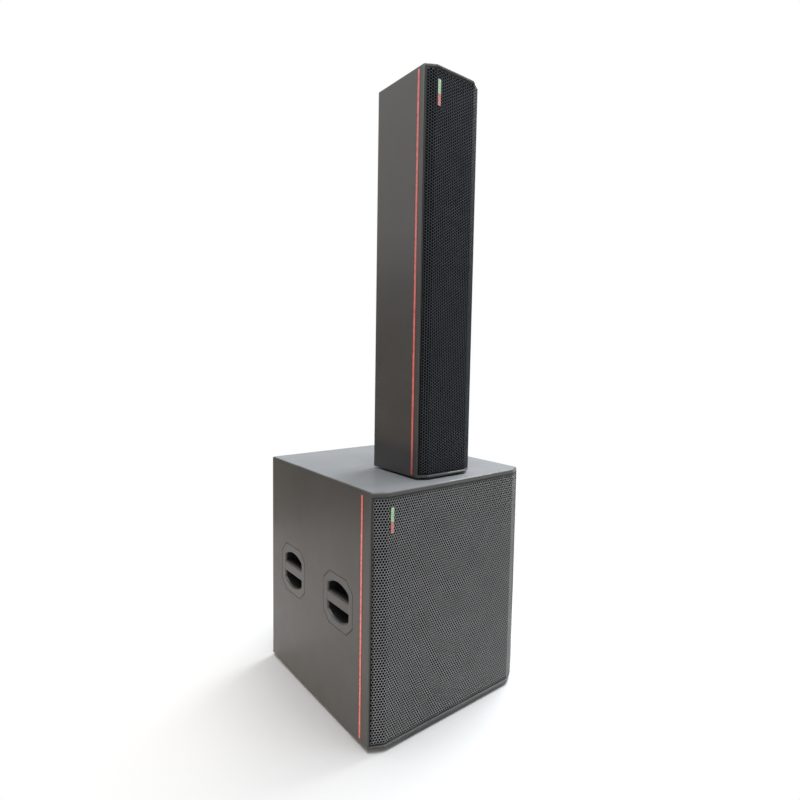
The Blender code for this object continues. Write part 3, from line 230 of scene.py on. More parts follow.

# Cabinet paint: greys on upright faces, and lighter greys on faces that look up, which are painted light
# from above. The shares place these four along one mix. Warmth and specular level are for upright faces,
# then for faces that look up; the warm tint is painted bounce light, the cool tint painted skylight. Plain
# roughness is the shader's own value, under the layers
PAINT_UPRIGHT = (0.051, 0.060)
PAINT_LIT_TOP = (0.205, 0.230)
PAINT_LIGHT_TINT = (0.05, -0.04)
PAINT_SHARES = (0.0, 0.4, 0.6, 1.0)
PAINT_PLAIN_ROUGHNESS = 0.4
PAINT_ROUGHNESS = (0.38, 0.44)
PAINT_TOP_ROUGHNESS = 0.30
PAINT_SPECULAR = (0.5, 0.15)
PAINT_PATCH = 0.15
PAINT_GLOSS_PATCH = 0.05
PAINT_GRAIN = 0.0010
PAINT_GRAIN_DEPTH = 0.00003
PAINT_COAT = 0.12
PAINT_COAT_ROUGHNESS = 0.2

# Which way a fitting's own Z axis points
UP = Matrix.Identity(4)
BACK = Matrix.Rotation(math.pi, 4, "Z") @ Matrix.Rotation(math.pi / 2, 4, "X")


# Finishes


class Finish:
    """A Principled material built up from a few procedural layers, in real sizes."""

    def __init__(self, name, colour, roughness, metallic=0.0, **sockets):
        self.made = bpy.data.materials.new(name)
        self.made.use_nodes = True
        self.tree = self.made.node_tree
        self.shader = self.tree.nodes["Principled BSDF"]
        self.set("Base Color", (*colour, 1.0))
        self.set("Roughness", roughness)
        self.set("Metallic", metallic)
        for socket, value in sockets.items():
            self.set(socket.replace("_", " "), value)
        self.place = self.node("ShaderNodeTexCoord").outputs["Object"]
        self.relief = None

    def set(self, socket, value):
        self.shader.inputs[socket].default_value = value

    def node(self, kind):
        return self.tree.nodes.new(kind)

    def link(self, source, target):
        self.tree.links.new(source, target)

    def noise(self, size, detail, stretch=(1.0, 1.0, 1.0)):
        """Noise with features of about that size in metres."""
        mapping = self.node("ShaderNodeMapping")
        mapping.inputs["Scale"].default_value = stretch
        self.link(self.place, mapping.inputs["Vector"])
        made = self.node("ShaderNodeTexNoise")
        made.inputs["Scale"].default_value = 1.0 / size
        made.inputs["Detail"].default_value = detail
        self.link(mapping.outputs["Vector"], made.inputs["Vector"])
        return made.outputs["Fac"]

    def spread(self, source, low, high, new_low, new_high):
        made = self.node("ShaderNodeMapRange")
        ends = (("From Min", low), ("From Max", high), ("To Min", new_low), ("To Max", new_high))
        for socket, value in ends:
            made.inputs[socket].default_value = value
        self.link(source, made.inputs["Value"])
        return made.outputs["Result"]

    def upward(self, upright, flat):
        """One value on upright faces and edges, another on faces that look straight up."""
        sides = self.node("ShaderNodeSeparateXYZ")
        self.link(self.node("ShaderNodeNewGeometry").outputs["Normal"], sides.inputs["Vector"])
        return self.spread(sides.outputs["Z"], *LOOKS_UP, upright, flat)

    def total(self, first, second):
        made = self.node("ShaderNodeMath")
        self.link(first, made.inputs[0])
        self.link(second, made.inputs[1])
        return made.outputs["Value"]

    def colours(self, factor, *stops):
        """Colours along a factor, from (place, colour) stops."""
        made = self.node("ShaderNodeValToRGB")
        elements = made.color_ramp.elements
        while len(elements) < len(stops):
            elements.new(1.0)
        for element, (position, colour) in zip(elements, stops):
            element.position = position
            element.color = (*colour, 1.0)
        self.link(factor, made.inputs["Fac"])
        self.link(made.outputs["Color"], self.shader.inputs["Base Color"])

    def rough(self, factor, low, high):
        self.link(self.spread(factor, *NOISE_SPAN, low, high), self.shader.inputs["Roughness"])

    def bump(self, factor, depth):
        """A relief of that depth in metres, over any before it."""
        made = self.node("ShaderNodeBump")
        made.inputs["Strength"].default_value = BUMP_STRENGTH
        made.inputs["Distance"].default_value = depth
        self.link(factor, made.inputs["Height"])
        if self.relief is not None:
            self.link(self.relief, made.inputs["Normal"])
        self.relief = made.outputs["Normal"]
        self.link(self.relief, self.shader.inputs["Normal"])


def add_grain(finish, size, depth):
    """Fine grain in two sizes, the finer one half as deep."""
    coarse, fine = GRAIN_DETAIL
    finish.bump(finish.noise(2 * size, coarse), depth)
    finish.bump(finish.noise(size, fine), depth / 2)


def grained(name, dark, light, rough, patch, grain, depth, metallic=0.0, **sockets):
    """A finish with soft patches of colour, uneven gloss and a fine grain."""
    middle = tuple((a + b) / 2 for a, b in zip(dark, light))
    made = Finish(name, middle, sum(rough) / 2, metallic, **sockets)
    made.colours(made.noise(patch, PATCH_DETAIL), *zip(NOISE_SPAN, (dark, light)))
    made.rough(made.noise(patch / 3, GLOSS_DETAIL), *rough)
    if depth > 0:
        add_grain(made, grain, depth)
    return made.made


def grey(value, warmth=0.0):
    return (value * (1 + warmth), value, value * (1 - warmth))


def lined(name, dark, light, rough, lines, metallic):
    """A finish with fine lines or wood grain along Z."""
    *shape, depth = lines
    made = Finish(name, light, sum(rough) / 2, metallic)
    factor = made.noise(*shape)
    made.colours(factor, *zip(NOISE_SPAN, (dark, light)))
    made.rough(factor, *rough)
    made.bump(factor, depth)
    return made.made


def cabinet_paint(name):
    """Fine-grained satin paint; lighter, cooler greys on faces that look up are painted light from above.
    """
    coat = {"Coat_Weight": PAINT_COAT, "Coat_Roughness": PAINT_COAT_ROUGHNESS}
    made = Finish(name, grey(PAINT_UPRIGHT[1]), PAINT_PLAIN_ROUGHNESS, **coat)
    # Upright faces take a warm tint of painted bounce light; faces that look up take lighter, cooler greys
    # as painted light from above
    tones = [grey(tone, PAINT_LIGHT_TINT[0]) for tone in PAINT_UPRIGHT]
    tones += [grey(tone, PAINT_LIGHT_TINT[1]) for tone in PAINT_LIT_TOP]
    bare, bare_end, lit_top_share, _ = PAINT_SHARES
    patches = made.spread(made.noise(PAINT_PATCH, PATCH_DETAIL), *NOISE_SPAN, bare, bare_end)
    made.colours(made.total(patches, made.upward(bare, lit_top_share)), *zip(PAINT_SHARES, tones))
    gloss = made.spread(made.noise(PAINT_GLOSS_PATCH, GLOSS_DETAIL), *NOISE_SPAN, *PAINT_ROUGHNESS)
    dull = made.upward(0.0, PAINT_TOP_ROUGHNESS)
    made.link(made.total(gloss, dull), made.shader.inputs["Roughness"])
    made.link(made.upward(*PAINT_SPECULAR), made.shader.inputs["Specular IOR Level"])
    add_grain(made, PAINT_GRAIN, PAINT_GRAIN_DEPTH)
    return made.made


# Each finish: darker and lighter colour and range of roughness; then size of the patches, size and depth of
# the grain, or the lines; and how metallic it is
CABINET_PAINT = cabinet_paint("cabinet_paint")
SUB_GRILLE_PAINT = grained(
    "sub_grille_paint", grey(0.255), grey(0.290), (0.36, 0.46), 0.08, 0.0007, 0.00002
)
COLUMN_GRILLE_PAINT = grained(
    "column_grille_paint", (0.064, 0.070, 0.080), (0.078, 0.085, 0.096), (0.64, 0.74), 0.08, 0.0007,
    0.00002, Specular_IOR_Level=0.2,
)
RIM_PAINT = grained(
    "rim_paint", grey(0.044), grey(0.056), (0.64, 0.74), 0.08, 0.0007, 0.00002, Specular_IOR_Level=0.2
)
ACCENT_RED = grained(
    "accent_red", (0.64, 0.15, 0.14), (0.72, 0.19, 0.17), (0.22, 0.34), 0.03, 0.0010, 0.0, Coat_Weight=0.3
)
ACCENT_DEEP = grained(
    "accent_deep", (0.13, 0.022, 0.020), (0.17, 0.030, 0.027), (0.4, 0.5), 0.03, 0.0010, 0.0
)
HANDLE_PLASTIC = grained(
    "handle_plastic", grey(0.056, 0.04), grey(0.068, 0.04), (0.28, 0.36), 0.03, 0.0009, 0.00003
)
# Dark plastic for the handle's seam, and painted shade deep in its pocket
POCKET_SHADE_PLASTIC = grained("pocket_shade_plastic", grey(0.010), grey(0.018), (0.50, 0.65), 0.02, 0.0009, 0.00004)
RUBBER = grained("rubber", grey(0.012), grey(0.022), (0.75, 0.92), 0.01, 0.0008, 0.00006)
FOAM = grained(
    "acoustic_foam", grey(0.003), grey(0.007), (0.92, 1.0), 0.004, 0.0010, 0.0006, Specular_IOR_Level=0.1
)
BAFFLE_WOOD = lined("baffle_wood", grey(0.008), grey(0.018, 0.05), (0.6, 0.8), WOOD_GRAIN, 0.0)
CAST_METAL = grained("cast_metal", grey(0.024), grey(0.040), (0.36, 0.55), 0.015, 0.0012, 0.00008, 0.5)
MAGNET_METAL = grained("magnet_metal", grey(0.10), grey(0.15), (0.28, 0.45), 0.03, 0.0008, 0.00002, 0.9)
CONE_PAPER = grained("cone_paper", grey(0.012), grey(0.026), (0.65, 0.85), 0.006, 0.0020, 0.00012)
TRAY_METAL = grained("tray_metal", grey(0.026), grey(0.034), (0.38, 0.50), 0.04, 0.0008, 0.00003, 0.2)
HEATSINK_METAL = lined("heatsink_metal", grey(0.26), grey(0.36), (0.34, 0.48), BRUSHING, 1.0)
PIN_METAL = lined("pin_metal", (0.60, 0.57, 0.50), (0.76, 0.72, 0.64), (0.20, 0.34), BRUSHING, 1.0)
SHELL_METAL = lined("shell_metal", grey(0.42), grey(0.55), (0.24, 0.38), BRUSHING, 1.0)
SCREW_METAL = lined("screw_metal", grey(0.16), grey(0.24), (0.28, 0.42), BRUSHING, 1.0)
SOCKET_PLASTIC = grained("socket_plastic", grey(0.012), grey(0.020), (0.32, 0.46), 0.008, 0.0006, 0.00003)
KNOB_PLASTIC = grained("knob_plastic", grey(0.018), grey(0.028), (0.42, 0.58), 0.006, 0.0006, 0.00004)
MARK_PAINT = grained("mark_paint", grey(0.62), grey(0.74), (0.45, 0.60), 0.003, 0.0004, 0.0)
LAMP_GREEN = grained(
    "lamp_green", (0.30, 0.50, 0.30), (0.44, 0.64, 0.42), (0.18, 0.30), 0.006, 0.0006, 0.0,
    Emission_Color=(0.44, 0.64, 0.42, 1.0), Emission_Strength=0.12,
)
LAMP_RED = grained(
    "lamp_red", (0.48, 0.17, 0.16), (0.62, 0.26, 0.24), (0.18, 0.30), 0.006, 0.0006, 0.0,
    Emission_Color=(0.62, 0.26, 0.24, 1.0), Emission_Strength=0.12,
)

SLOT_FINISHES = {
    "cabinet_paint": CABINET_PAINT,
    "grille_steel": SUB_GRILLE_PAINT,
    "accent_red": ACCENT_RED,
    "handle_plastic": HANDLE_PLASTIC,
    "rubber": RUBBER,
    "baffle_wood": BAFFLE_WOOD,
    "cast_metal": CAST_METAL,
    "magnet_metal": MAGNET_METAL,
    "cone_paper": CONE_PAPER,
    "tray_metal": TRAY_METAL,
    "bare_metal": HEATSINK_METAL,
    "socket_plastic": SOCKET_PLASTIC,
    "control_plastic": KNOB_PLASTIC,
    "lamp_lens": LAMP_GREEN,
}


# Pieces


def linked(name, data):
    """A new object in the scene."""
    made = bpy.data.objects.new(name, data)
    bpy.context.scene.collection.objects.link(made)
    return made


def add_piece(name, mesh, body, slot, *materials):
    """A new piece with its materials, which rides on a body. The slot argument is not used."""
    made = linked(name, mesh)
    for material in materials:
        mesh.materials.append(material)
    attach(made, body)
    return made


def as_mesh(name, shape):
    """A mesh from a bmesh, which is freed."""
    mesh = bpy.data.meshes.new(name)
    shape.to_mesh(mesh)
    shape.free()
    return mesh


def smooth(mesh, angle):
    """Shades a mesh smooth across edges flatter than the angle."""
    mesh.shade_smooth()
    mesh.set_sharp_from_angle(angle=math.radians(angle))


def mesh_of(name, build, angle=0.0):
    """A mesh from a function that fills a bmesh, shaded smooth if an angle is given."""
    shape = bmesh.new()
    build(shape)
    mesh = as_mesh(name, shape)
    if angle:
        smooth(mesh, angle)
    return mesh


def put(shape, build, matrix, material=0):
    """Adds what a function makes to a bmesh, moved by the matrix, with one material."""
    old_points, old_faces = set(shape.verts), set(shape.faces)
    build(shape)
    bmesh.ops.transform(shape, matrix=matrix, verts=[v for v in shape.verts if v not in old_points])
    for face in shape.faces:
        if face not in old_faces:
            face.material_index = material


def box(shape, low, high, material=0, round_by=0.0, steps=2):
    """A box between two corners, with its edges rounded if asked for."""
    size = Vector(high) - Vector(low)
    middle = (Vector(high) + Vector(low)) / 2

    def build(part):
        matrix = Matrix.Translation(middle) @ Matrix.Diagonal((*size, 1.0))
        made = bmesh.ops.create_cube(part, size=1.0, matrix=matrix)
        if round_by:
            edges = list(dict.fromkeys(edge for corner in made["verts"] for edge in corner.link_edges))
            bmesh.ops.bevel(
                part, geom=edges, offset=round_by, segments=steps, profile=0.5, affect="EDGES"
            )

    put(shape, build, UP, material)


def turn(shape, profile, sides, flutes=0, depth=0.0):
    """Turns a profile of (radius, height) about Z, with flutes in its narrower grip if asked for.

    A profile that ends where it starts makes a ring; the ends of any other are closed by flat faces.
    """
    widest = max(radius for radius, height in profile)
    closed = profile[0] == profile[-1]
    rings = []
    for radius, height in profile[:-1] if closed else profile:
        gripped = flutes and widest / 2 < radius < widest
        points = []
        for i in range(sides if radius else 1):
            angle = 2 * math.pi * i / sides
            reach = radius - (depth * (0.5 + 0.5 * math.cos(flutes * angle)) if gripped else 0.0)
            points.append(shape.verts.new((reach * math.cos(angle), reach * math.sin(angle), height)))
        rings.append(points)
    if closed:
        rings.append(rings[0])
    for low, high in zip(rings, rings[1:]):
        for i in range(sides):
            j = (i + 1) % sides
            corners = [low[i % len(low)], low[j % len(low)], high[j % len(high)], high[i % len(high)]]
            shape.faces.new(dict.fromkeys(corners))
    for points in () if closed else (rings[0], rings[-1]):
        if len(points) > 1:
            shape.faces.new(points)
    bmesh.ops.recalc_face_normals(shape, faces=shape.faces)


def turned(shape, matrix, profile, sides, material=0, flutes=0, depth=0.0):
    put(shape, lambda part: turn(part, profile, sides, flutes, depth), matrix, material)


def ring(shape, matrix, inner, outer, height, material=0, sides=RING_SIDES):
    """A flat ring with its outer edge cut back by a third of its height."""
    soft = height / 3
    profile = [(inner, 0.0), (outer, 0.0), (outer, height - soft), (outer - soft, height), (inner, height)]
    turned(shape, matrix, profile + profile[:1], sides, material)


def screw_head(shape, matrix, radius, rise, material=0):
    """Pan head with a socket."""
    profile = [(radius * across, rise * up) for across, up in SCREW_SECTION]
    turned(shape, matrix, profile, SCREW_SIDES, material)


def screws(name, places, body):
    """Screw heads on a face at the back, as one piece."""

    def build(shape):
        for place in places:
            screw_head(shape, Matrix.Translation(place) @ BACK, *SCREW)

    add_piece(name, mesh_of(name, build, SMOOTH), body, "bare_metal", SCREW_METAL)


def loft(shape, loops, materials):
    """Joins loops of (outline, height) with bands of faces, and gives the loops' corners."""
    made = [[shape.verts.new((*place, height)) for place in outline] for outline, height in loops]
    for low, high, material in zip(made, made[1:], materials):
        for i in range(len(low)):
            shape.faces.new([low[i - 1], low[i], high[i], high[i - 1]]).material_index = material
    return made


def raised_plan(shape, plan, low, high):
    """A prism on a plan."""
    for end in loft(shape, [(plan, low), (plan, high)], [0]):
        shape.faces.new(end)
    bmesh.ops.recalc_face_normals(shape, faces=shape.faces)


def welded(node):
    """The CAD node's solid as a closed bmesh."""
    shape = bmesh.new()
    shape.from_mesh(frame["nodes"][node].data)
    shape.transform(frame["nodes"][node].matrix_world)
    bmesh.ops.remove_doubles(shape, verts=shape.verts, dist=WELD)
    bmesh.ops.dissolve_limit(shape, angle_limit=FLAT, verts=shape.verts, edges=shape.edges)
    return shape


# Cabinets


def cabinet(name, node, body, chamfer, radius):
    """The CAD cabinet with its outer edges rounded off, painted."""
    low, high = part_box(node)
    plan = [
        (low.x, high.y), (low.x, low.y + chamfer[1]), (low.x + chamfer[0], low.y),
        (high.x - chamfer[0], low.y), (high.x, low.y + chamfer[1]), (high.x, high.y),
    ]

    def rounded(shape):
        raised_plan(shape, plan, low.z, high.z)
        bmesh.ops.bevel(
            shape, geom=shape.edges[:], offset=radius, segments=ROUND_STEPS, profile=0.5, affect="EDGES"
        )

    tool = linked(name + "_tool", mesh_of(name + "_tool", rounded))
    block = linked(name + "_block", as_mesh(name + "_solid", welded(node)))
    trim = block.modifiers.new("trim", "BOOLEAN")
    trim.operation = "INTERSECT"
    trim.solver = "EXACT"
    trim.object = tool
    bpy.context.view_layer.update()
    graph = bpy.context.evaluated_depsgraph_get()
    mesh = bpy.data.meshes.new_from_object(block.evaluated_get(graph))
    for helper in (tool, block):
        bpy.data.objects.remove(helper)
    mesh.name = name
    smooth(mesh, SMOOTH_CABINET)
    made = add_piece(name, mesh, body, "cabinet_paint", CABINET_PAINT)
    made.modifiers.new("even", "WEIGHTED_NORMAL").keep_sharp = True
    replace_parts(made, node)


# Grilles


def pattern(length, height, pitch, radius, border):
    """A flat perforated sheet: points and cell corners, six to a hole, faces and outermost hole edges."""
    row_pitch = pitch * math.sqrt(3) / 2
    cell = pitch / math.sqrt(3)
    rows = int((height - 2 * border[1] - 2 * cell) / row_pitch) + 1
    columns = int((length - 2 * border[0] - 1.5 * pitch) / pitch) + 1
    row, column = np.meshgrid(np.arange(rows), np.arange(columns), indexing="ij")
    odd = row % 2
    across = (column - (columns - 1) / 2) * pitch + (odd - 0.5) * pitch / 2
    along = (row - (rows - 1) / 2) * row_pitch
    middles = np.stack([across.ravel(), along.ravel()], axis=1)
    angles = np.radians(30 + 60 * np.arange(6))
    around = np.stack([np.cos(angles), np.sin(angles)], axis=1)
    points, corners = ((middles[:, None, :] + reach * around).reshape(-1, 2) for reach in (radius, cell))

    # First point of each hole, and of the holes that its edges look at (-1 beyond the last): upper right,
    # upper left, left, lower left, lower right and right
    number = np.full((rows + 2, columns + 2), -1)
    number[1:-1, 1:-1] = 6 * np.arange(rows * columns).reshape(rows, columns)
    here = number[1:-1, 1:-1]
    near = [number[row + 2, column + 1 + odd], number[row + 2, column + odd], number[1:-1, :-2]]
    near += [number[row, column + odd], number[row, column + 1 + odd], number[1:-1, 2:]]
    faces, rim = [], []
    for k, other in enumerate(near):
        first, second = here + k, here + (k + 1) % 6
        inside = other >= 0
        rim += np.stack([first, second], axis=-1)[~inside].tolist()

        # Each web is made once, by the hole to the left of it or below it
        if k in (5, 0, 1):
            bridge = np.stack([first, other + (k + 4) % 6, other + (k + 3) % 6, second], axis=-1)
            faces += bridge[inside].tolist()

    # Triangles where a hole meets its right neighbour and the one above or below both
    for a, b, meeting in ((5, 0, (0, 2, 4)), (4, 5, (5, 1, 3))):
        inside = (near[a] >= 0) & (near[b] >= 0)
        joint = np.stack([start + k for start, k in zip((here, near[a], near[b]), meeting)], axis=-1)
        faces += joint[inside].tolist()
    return points, corners, faces, rim


def crease(shape, fold):
    """Cuts the sheet along both folds."""
    for across in (-fold, fold):
        bmesh.ops.bisect_plane(
            shape, geom=shape.verts[:] + shape.edges[:] + shape.faces[:], plane_co=(across, 0, 0),
            plane_no=(1, 0, 0), dist=CREASE_REACH,
        )


def perforated(length, height, holes, border, fold, upright):
    """A flat perforated sheet with its plain border, creased along both folds."""
    if upright:
        points, corners, faces, rim = pattern(height, length, *holes, border[::-1])
        points, corners = points[:, ::-1], corners[:, ::-1]
    else:
        points, corners, faces, rim = pattern(length, height, *holes, border)
    shape = bmesh.new()
    inner = [shape.verts.new((*place, 0.0)) for place in points.tolist()]
    for face in faces:
        shape.faces.new([inner[i] for i in face])

    # The outermost holes get the rest of their cells, which meet at shared corners
    for a, b in rim:
        cell = [shape.verts.new((*corners[i], 0.0)) for i in (b, a)]
        shape.faces.new([inner[a], inner[b], *cell])
    shape.verts.index_update()
    outer = [corner for corner in shape.verts if corner.index >= len(inner)]
    bmesh.ops.remove_doubles(shape, verts=outer, dist=holes[0] * CELL_MEET)

    # A gap left between two of these holes is closed as far as the corner that they share
    joints = [e for e in shape.edges if e.is_boundary and max(v.index for v in e.verts) < len(inner)]
    for edge in joints:
        a, b = edge.verts
        if a.index // 6 != b.index // 6:
            shared = {e.other_vert(a) for e in a.link_edges} & {e.other_vert(b) for e in b.link_edges}
            shape.faces.new([a, b, max(shared, key=lambda corner: corner.index)])

    # The plain border, up to the sheet's outline
    edges = [e for e in shape.edges if e.is_boundary and min(v.index for v in e.verts) >= len(inner)]
    right, top = length / 2, height / 2
    places = ((-right, -top), (right, -top), (right, top), (-right, top))
    outline = [shape.verts.new((*place, 0.0)) for place in places]
    edges += [shape.edges.new(pair) for pair in zip(outline, outline[1:] + outline[:1])]
    border_faces = bmesh.ops.triangle_fill(shape, use_beauty=True, edges=edges, normal=(0, 0, 1))["geom"]
    for item in border_faces:
        if isinstance(item, bmesh.types.BMFace):
            item.material_index = 1
    crease(shape, fold)
    bmesh.ops.recalc_face_normals(shape, faces=shape.faces)
    shape.faces.ensure_lookup_table()
    if shape.faces[0].normal.z < 0:
        bmesh.ops.reverse_faces(shape, faces=shape.faces)
    return shape


def folded(name, shape, flat, fold, depth, front, middle):
    """Folds a flat sheet round the front corners of a cabinet."""
    run = math.hypot(fold, depth)
    for corner in shape.verts:
        across, along = corner.co.x, corner.co.y
        past = max(0.0, abs(across) - flat)
        x = min(abs(across), flat) + past * fold / run
        corner.co = (math.copysign(x, across), front + past * depth / run, middle + along)
    return as_mesh(name, shape)


def thicken(made, thickness):
    """Gives a sheet its thickness, behind its face."""
    solid = made.modifiers.new("sheet", "SOLIDIFY")
    solid.thickness = thickness
    solid.offset = -1.0


def grille(name, node, body, fold, holes, border, upright, paint):
    """Perforated sheet folded round the front corners, with black foam behind it."""
    low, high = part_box(node)
    flat = (high.x - low.x) / 2 - fold
    depth = high.y - low.y - SHEET
    length = 2 * (flat + math.hypot(fold, depth))
    height = high.z - low.z
    middle = (low.z + high.z) / 2
    shape = perforated(length, height, holes, border, flat, upright)
    mesh = folded(name, shape, flat, fold, depth, low.y, middle)
    made = add_piece(name, mesh, body, "grille_steel", paint, RIM_PAINT)
    thicken(made, SHEET)
    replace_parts(made, node)

    shape = bmesh.new()
    bmesh.ops.create_grid(shape, x_segments=FOAM_CELLS, y_segments=FOAM_CELLS, size=0.5)
    bmesh.ops.scale(shape, vec=(length - 2 * border[0], height - 2 * border[1], 1.0), verts=shape.verts)
    crease(shape, flat)
    mesh = folded(name + "_foam", shape, flat, fold, depth, low.y + FOAM_SETBACK, middle)
    thicken(add_piece(name + "_foam", mesh, body, "rubber", FOAM), FOAM_THICKNESS)


# Lamp bars and accent strips


def level_bar(name, node, body):
    """Dark bezel with a row of lamp lenses, green above red."""
    low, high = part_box(node)
    tall = (high.z - low.z - 2 * LAMP_RIM - (LAMP_COUNT - 1) * LAMP_GAP) / LAMP_COUNT
    half = (low.y + high.y) / 2

    def build(shape):
        box(shape, (low.x, half, low.z), high, 0, BEZEL_ROUND)
        for i in range(LAMP_COUNT):
            bottom = low.z + LAMP_RIM + i * (tall + LAMP_GAP)
            colour = 1 if i >= LAMP_COUNT - LAMP_GREEN_COUNT else 2
            front = (low.x + LAMP_RIM, low.y, bottom)
            back = (high.x - LAMP_RIM, half + LAMP_RIM / 2, bottom + tall)
            box(shape, front, back, colour, LAMP_ROUND)

    made = add_piece(name, mesh_of(name, build), body, "lamp_lens", SOCKET_PLASTIC, LAMP_GREEN, LAMP_RED)
    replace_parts(made, node)


def accent(name, node, body):
    """Red bead with a half-round face that laps the groove, between two thin edges of a deeper red."""
    low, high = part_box(node)
    side = -1 if low.x < 0 else 1
    face = low.x if side < 0 else high.x
    back, front = high.y + BEAD_LAP, low.y - BEAD_LAP
    section = []
    for i in range(BEAD_STEPS + 1):
        angle = math.pi * i / BEAD_STEPS
        swell = BEAD_EDGE + (BEAD_RISE - BEAD_EDGE) * math.sin(angle)
        section.append((face + side * swell, (back + front + (back - front) * math.cos(angle)) / 2))
    section += [(face, front), (face, back)]

    def build(shape):
        put(shape, lambda part: raised_plan(part, section, low.z, high.z), UP, 0)
        for start in (back, front - BEAD_EDGE_WIDTH):
            low_corner = (min(face, face + side * BEAD_EDGE), start, low.z)
            high_corner = (max(face, face + side * BEAD_EDGE), start + BEAD_EDGE_WIDTH, high.z)
            box(shape, low_corner, high_corner, 1)

    mesh = mesh_of(name, build, SMOOTH_BEAD)
    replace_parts(add_piece(name, mesh, body, "accent_red", ACCENT_RED, ACCENT_DEEP), node)


# Handles


def arch(grow):
    """Outline of the handle's pocket, arched above and below, grown outwards."""
    (width, height), corner = HANDLE_POCKET, HANDLE_POCKET_CORNER
    radius = ((width / 2) ** 2 + HANDLE_RISE**2) / (2 * HANDLE_RISE)
    centre = height / 2 - radius
    across = width / 2 - corner
    along = centre + math.sqrt((radius - corner) ** 2 - across**2)
    meet = math.atan2(along - centre, across)
    quarter = []
    for angle in np.linspace(0.0, meet, HANDLE_CORNER_STEPS)[:-1]:
        reach = corner + grow
        quarter.append((across + reach * math.cos(angle), along + reach * math.sin(angle)))
    for angle in np.linspace(meet, math.pi / 2, HANDLE_ARC_STEPS):
        reach = radius + grow
        quarter.append((reach * math.cos(angle), centre + reach * math.sin(angle)))
    upper = quarter + [(-x, y) for x, y in reversed(quarter[:-1])]
    return upper + [(-x, -y) for x, y in upper]


def octagon(width, height, inset):
    """Outline of the handle's plate, set in from its edge."""
    x, y = width / 2, height / 2
    cut = HANDLE_CORNER
    corners = [(x, cut - y), (x, y - cut), (x - cut, y), (cut - x, y)]
    corners += [(-a, -b) for a, b in corners]
    return [(a * (1 - inset / x), b * (1 - inset / y)) for a, b in corners]


def span(shape, outer, inner):
    """Fills the flat ring between two loops."""
    edges = [shape.edges.get((loop[i - 1], loop[i])) for loop in (outer, inner) for i in range(len(loop))]
    bmesh.ops.triangle_fill(shape, use_beauty=True, edges=edges)


def rounded_bar(shape):
    """Round-cornered bar across the handle's pocket."""
    (height, depth), radius = HANDLE_BAR, HANDLE_BAR_ROUND
    section = []
    for turn_by in range(4):
        for angle in np.linspace(0.0, math.pi / 2, HANDLE_BAR_STEPS) + turn_by * math.pi / 2:
            side = (1 if turn_by in (0, 3) else -1, 1 if turn_by < 2 else -1)
            across = side[0] * (height / 2 - radius) + radius * math.cos(angle)
            along = side[1] * (depth / 2 - radius) + radius * math.sin(angle)
            section.append((across, along - depth / 2 - HANDLE_BAR_SETBACK))
    reach = HANDLE_POCKET[0] / 2 + HANDLE_LIP
    lay = Matrix(((0, 0, 1, 0), (1, 0, 0, 0), (0, 1, 0, 0), (0, 0, 0, 1)))
    put(shape, lambda part: raised_plan(part, section, -reach, reach), lay)


def handle(name, node):
    """Recessed bar handle: plate with a fine dark seam, soft lip, pocket darkened with painted shade, and
    bar.
    """
    low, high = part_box(node)
    side = 1 if low.x > 0 else -1
    width, height, depth = high.y - low.y, high.z - low.z, high.x - low.x
    place = ((high.x if side > 0 else low.x), (low.y + high.y) / 2, (low.z + high.z) / 2)
    facing = Matrix(((0, 0, side, 0), (side, 0, 0, 0), (0, 1, 0, 0), (0, 0, 0, 1)))

    lip = []
    for angle in np.linspace(0.0, math.pi / 2, HANDLE_LIP_STEPS + 1):
        lip.append((arch(HANDLE_LIP * (1 - math.sin(angle))), HANDLE_LIP * (math.cos(angle) - 1)))
    pocket = lip + [(arch(0.0), -HANDLE_SHADE_DEPTH), (arch(0.0), HANDLE_WALL - depth)]
    plate = [(octagon(width, height, HANDLE_SEAM), 0.0), (octagon(width, height, 0.0), -HANDLE_SEAM)]
    plate.append((octagon(width, height, 0.0), -HANDLE_FLANGE))
    cup = [(arch(HANDLE_WALL), -HANDLE_FLANGE), (arch(HANDLE_WALL), -depth)]

    def build(shape):
        # Below the shade depth, the pocket's walls and its floor are painted dark as shade
        inner = loft(shape, pocket, [0] * (HANDLE_LIP_STEPS + 1) + [1])
        rim = loft(shape, plate, [1, 0])
        outer = loft(shape, cup, [0])
        span(shape, rim[0], inner[0])
        span(shape, rim[-1], outer[0])
        shape.faces.new(inner[-1]).material_index = 1
        shape.faces.new(outer[-1])
        rounded_bar(shape)
        bmesh.ops.recalc_face_normals(shape, faces=shape.faces)
        shape.transform(Matrix.Translation(place) @ facing)

    mesh = mesh_of(name, build, SMOOTH)
    made = add_piece(name, mesh, SUB, "handle_plastic", HANDLE_PLASTIC, POCKET_SHADE_PLASTIC)
    made.modifiers.new("even", "WEIGHTED_NORMAL").keep_sharp = True
    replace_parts(made, node)


# Fittings at the back


def middle_of(node):
    low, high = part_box(node)
    return (low.x + high.x) / 2, (low.z + high.z) / 2


def on_back(node, y):
    """Puts a fitting on the middle of a node, at that depth, facing back."""
    x, z = middle_of(node)
    return Matrix.Translation((x, y, z)) @ BACK


def knob(name, node, body, floor):
    """Fluted knob with a white pointer, upright at rest."""
    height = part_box(node)[1].y - floor
    shaft, reach = KNOB_SHAFT
    profile = [(shaft, -reach), (shaft, KNOB_GAP), *KNOB_SKIRT]
    profile += [(radius, height - drop) for radius, drop in KNOB_TOP]
    half, (start, end) = POINTER_WIDTH / 2, POINTER_SPAN
    low, high = (-half, start, height - POINTER_RISE), (half, end, height + POINTER_RISE)

    def build(shape):
        matrix = on_back(node, floor)
        turned(shape, matrix, profile, KNOB_SIDES, 0, KNOB_FLUTES, KNOB_FLUTE_DEPTH)
        put(shape, lambda part: box(part, low, high), matrix, 1)

    mesh = mesh_of(name, build, SMOOTH)
    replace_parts(add_piece(name, mesh, body, "control_plastic", KNOB_PLASTIC, MARK_PAINT), node)


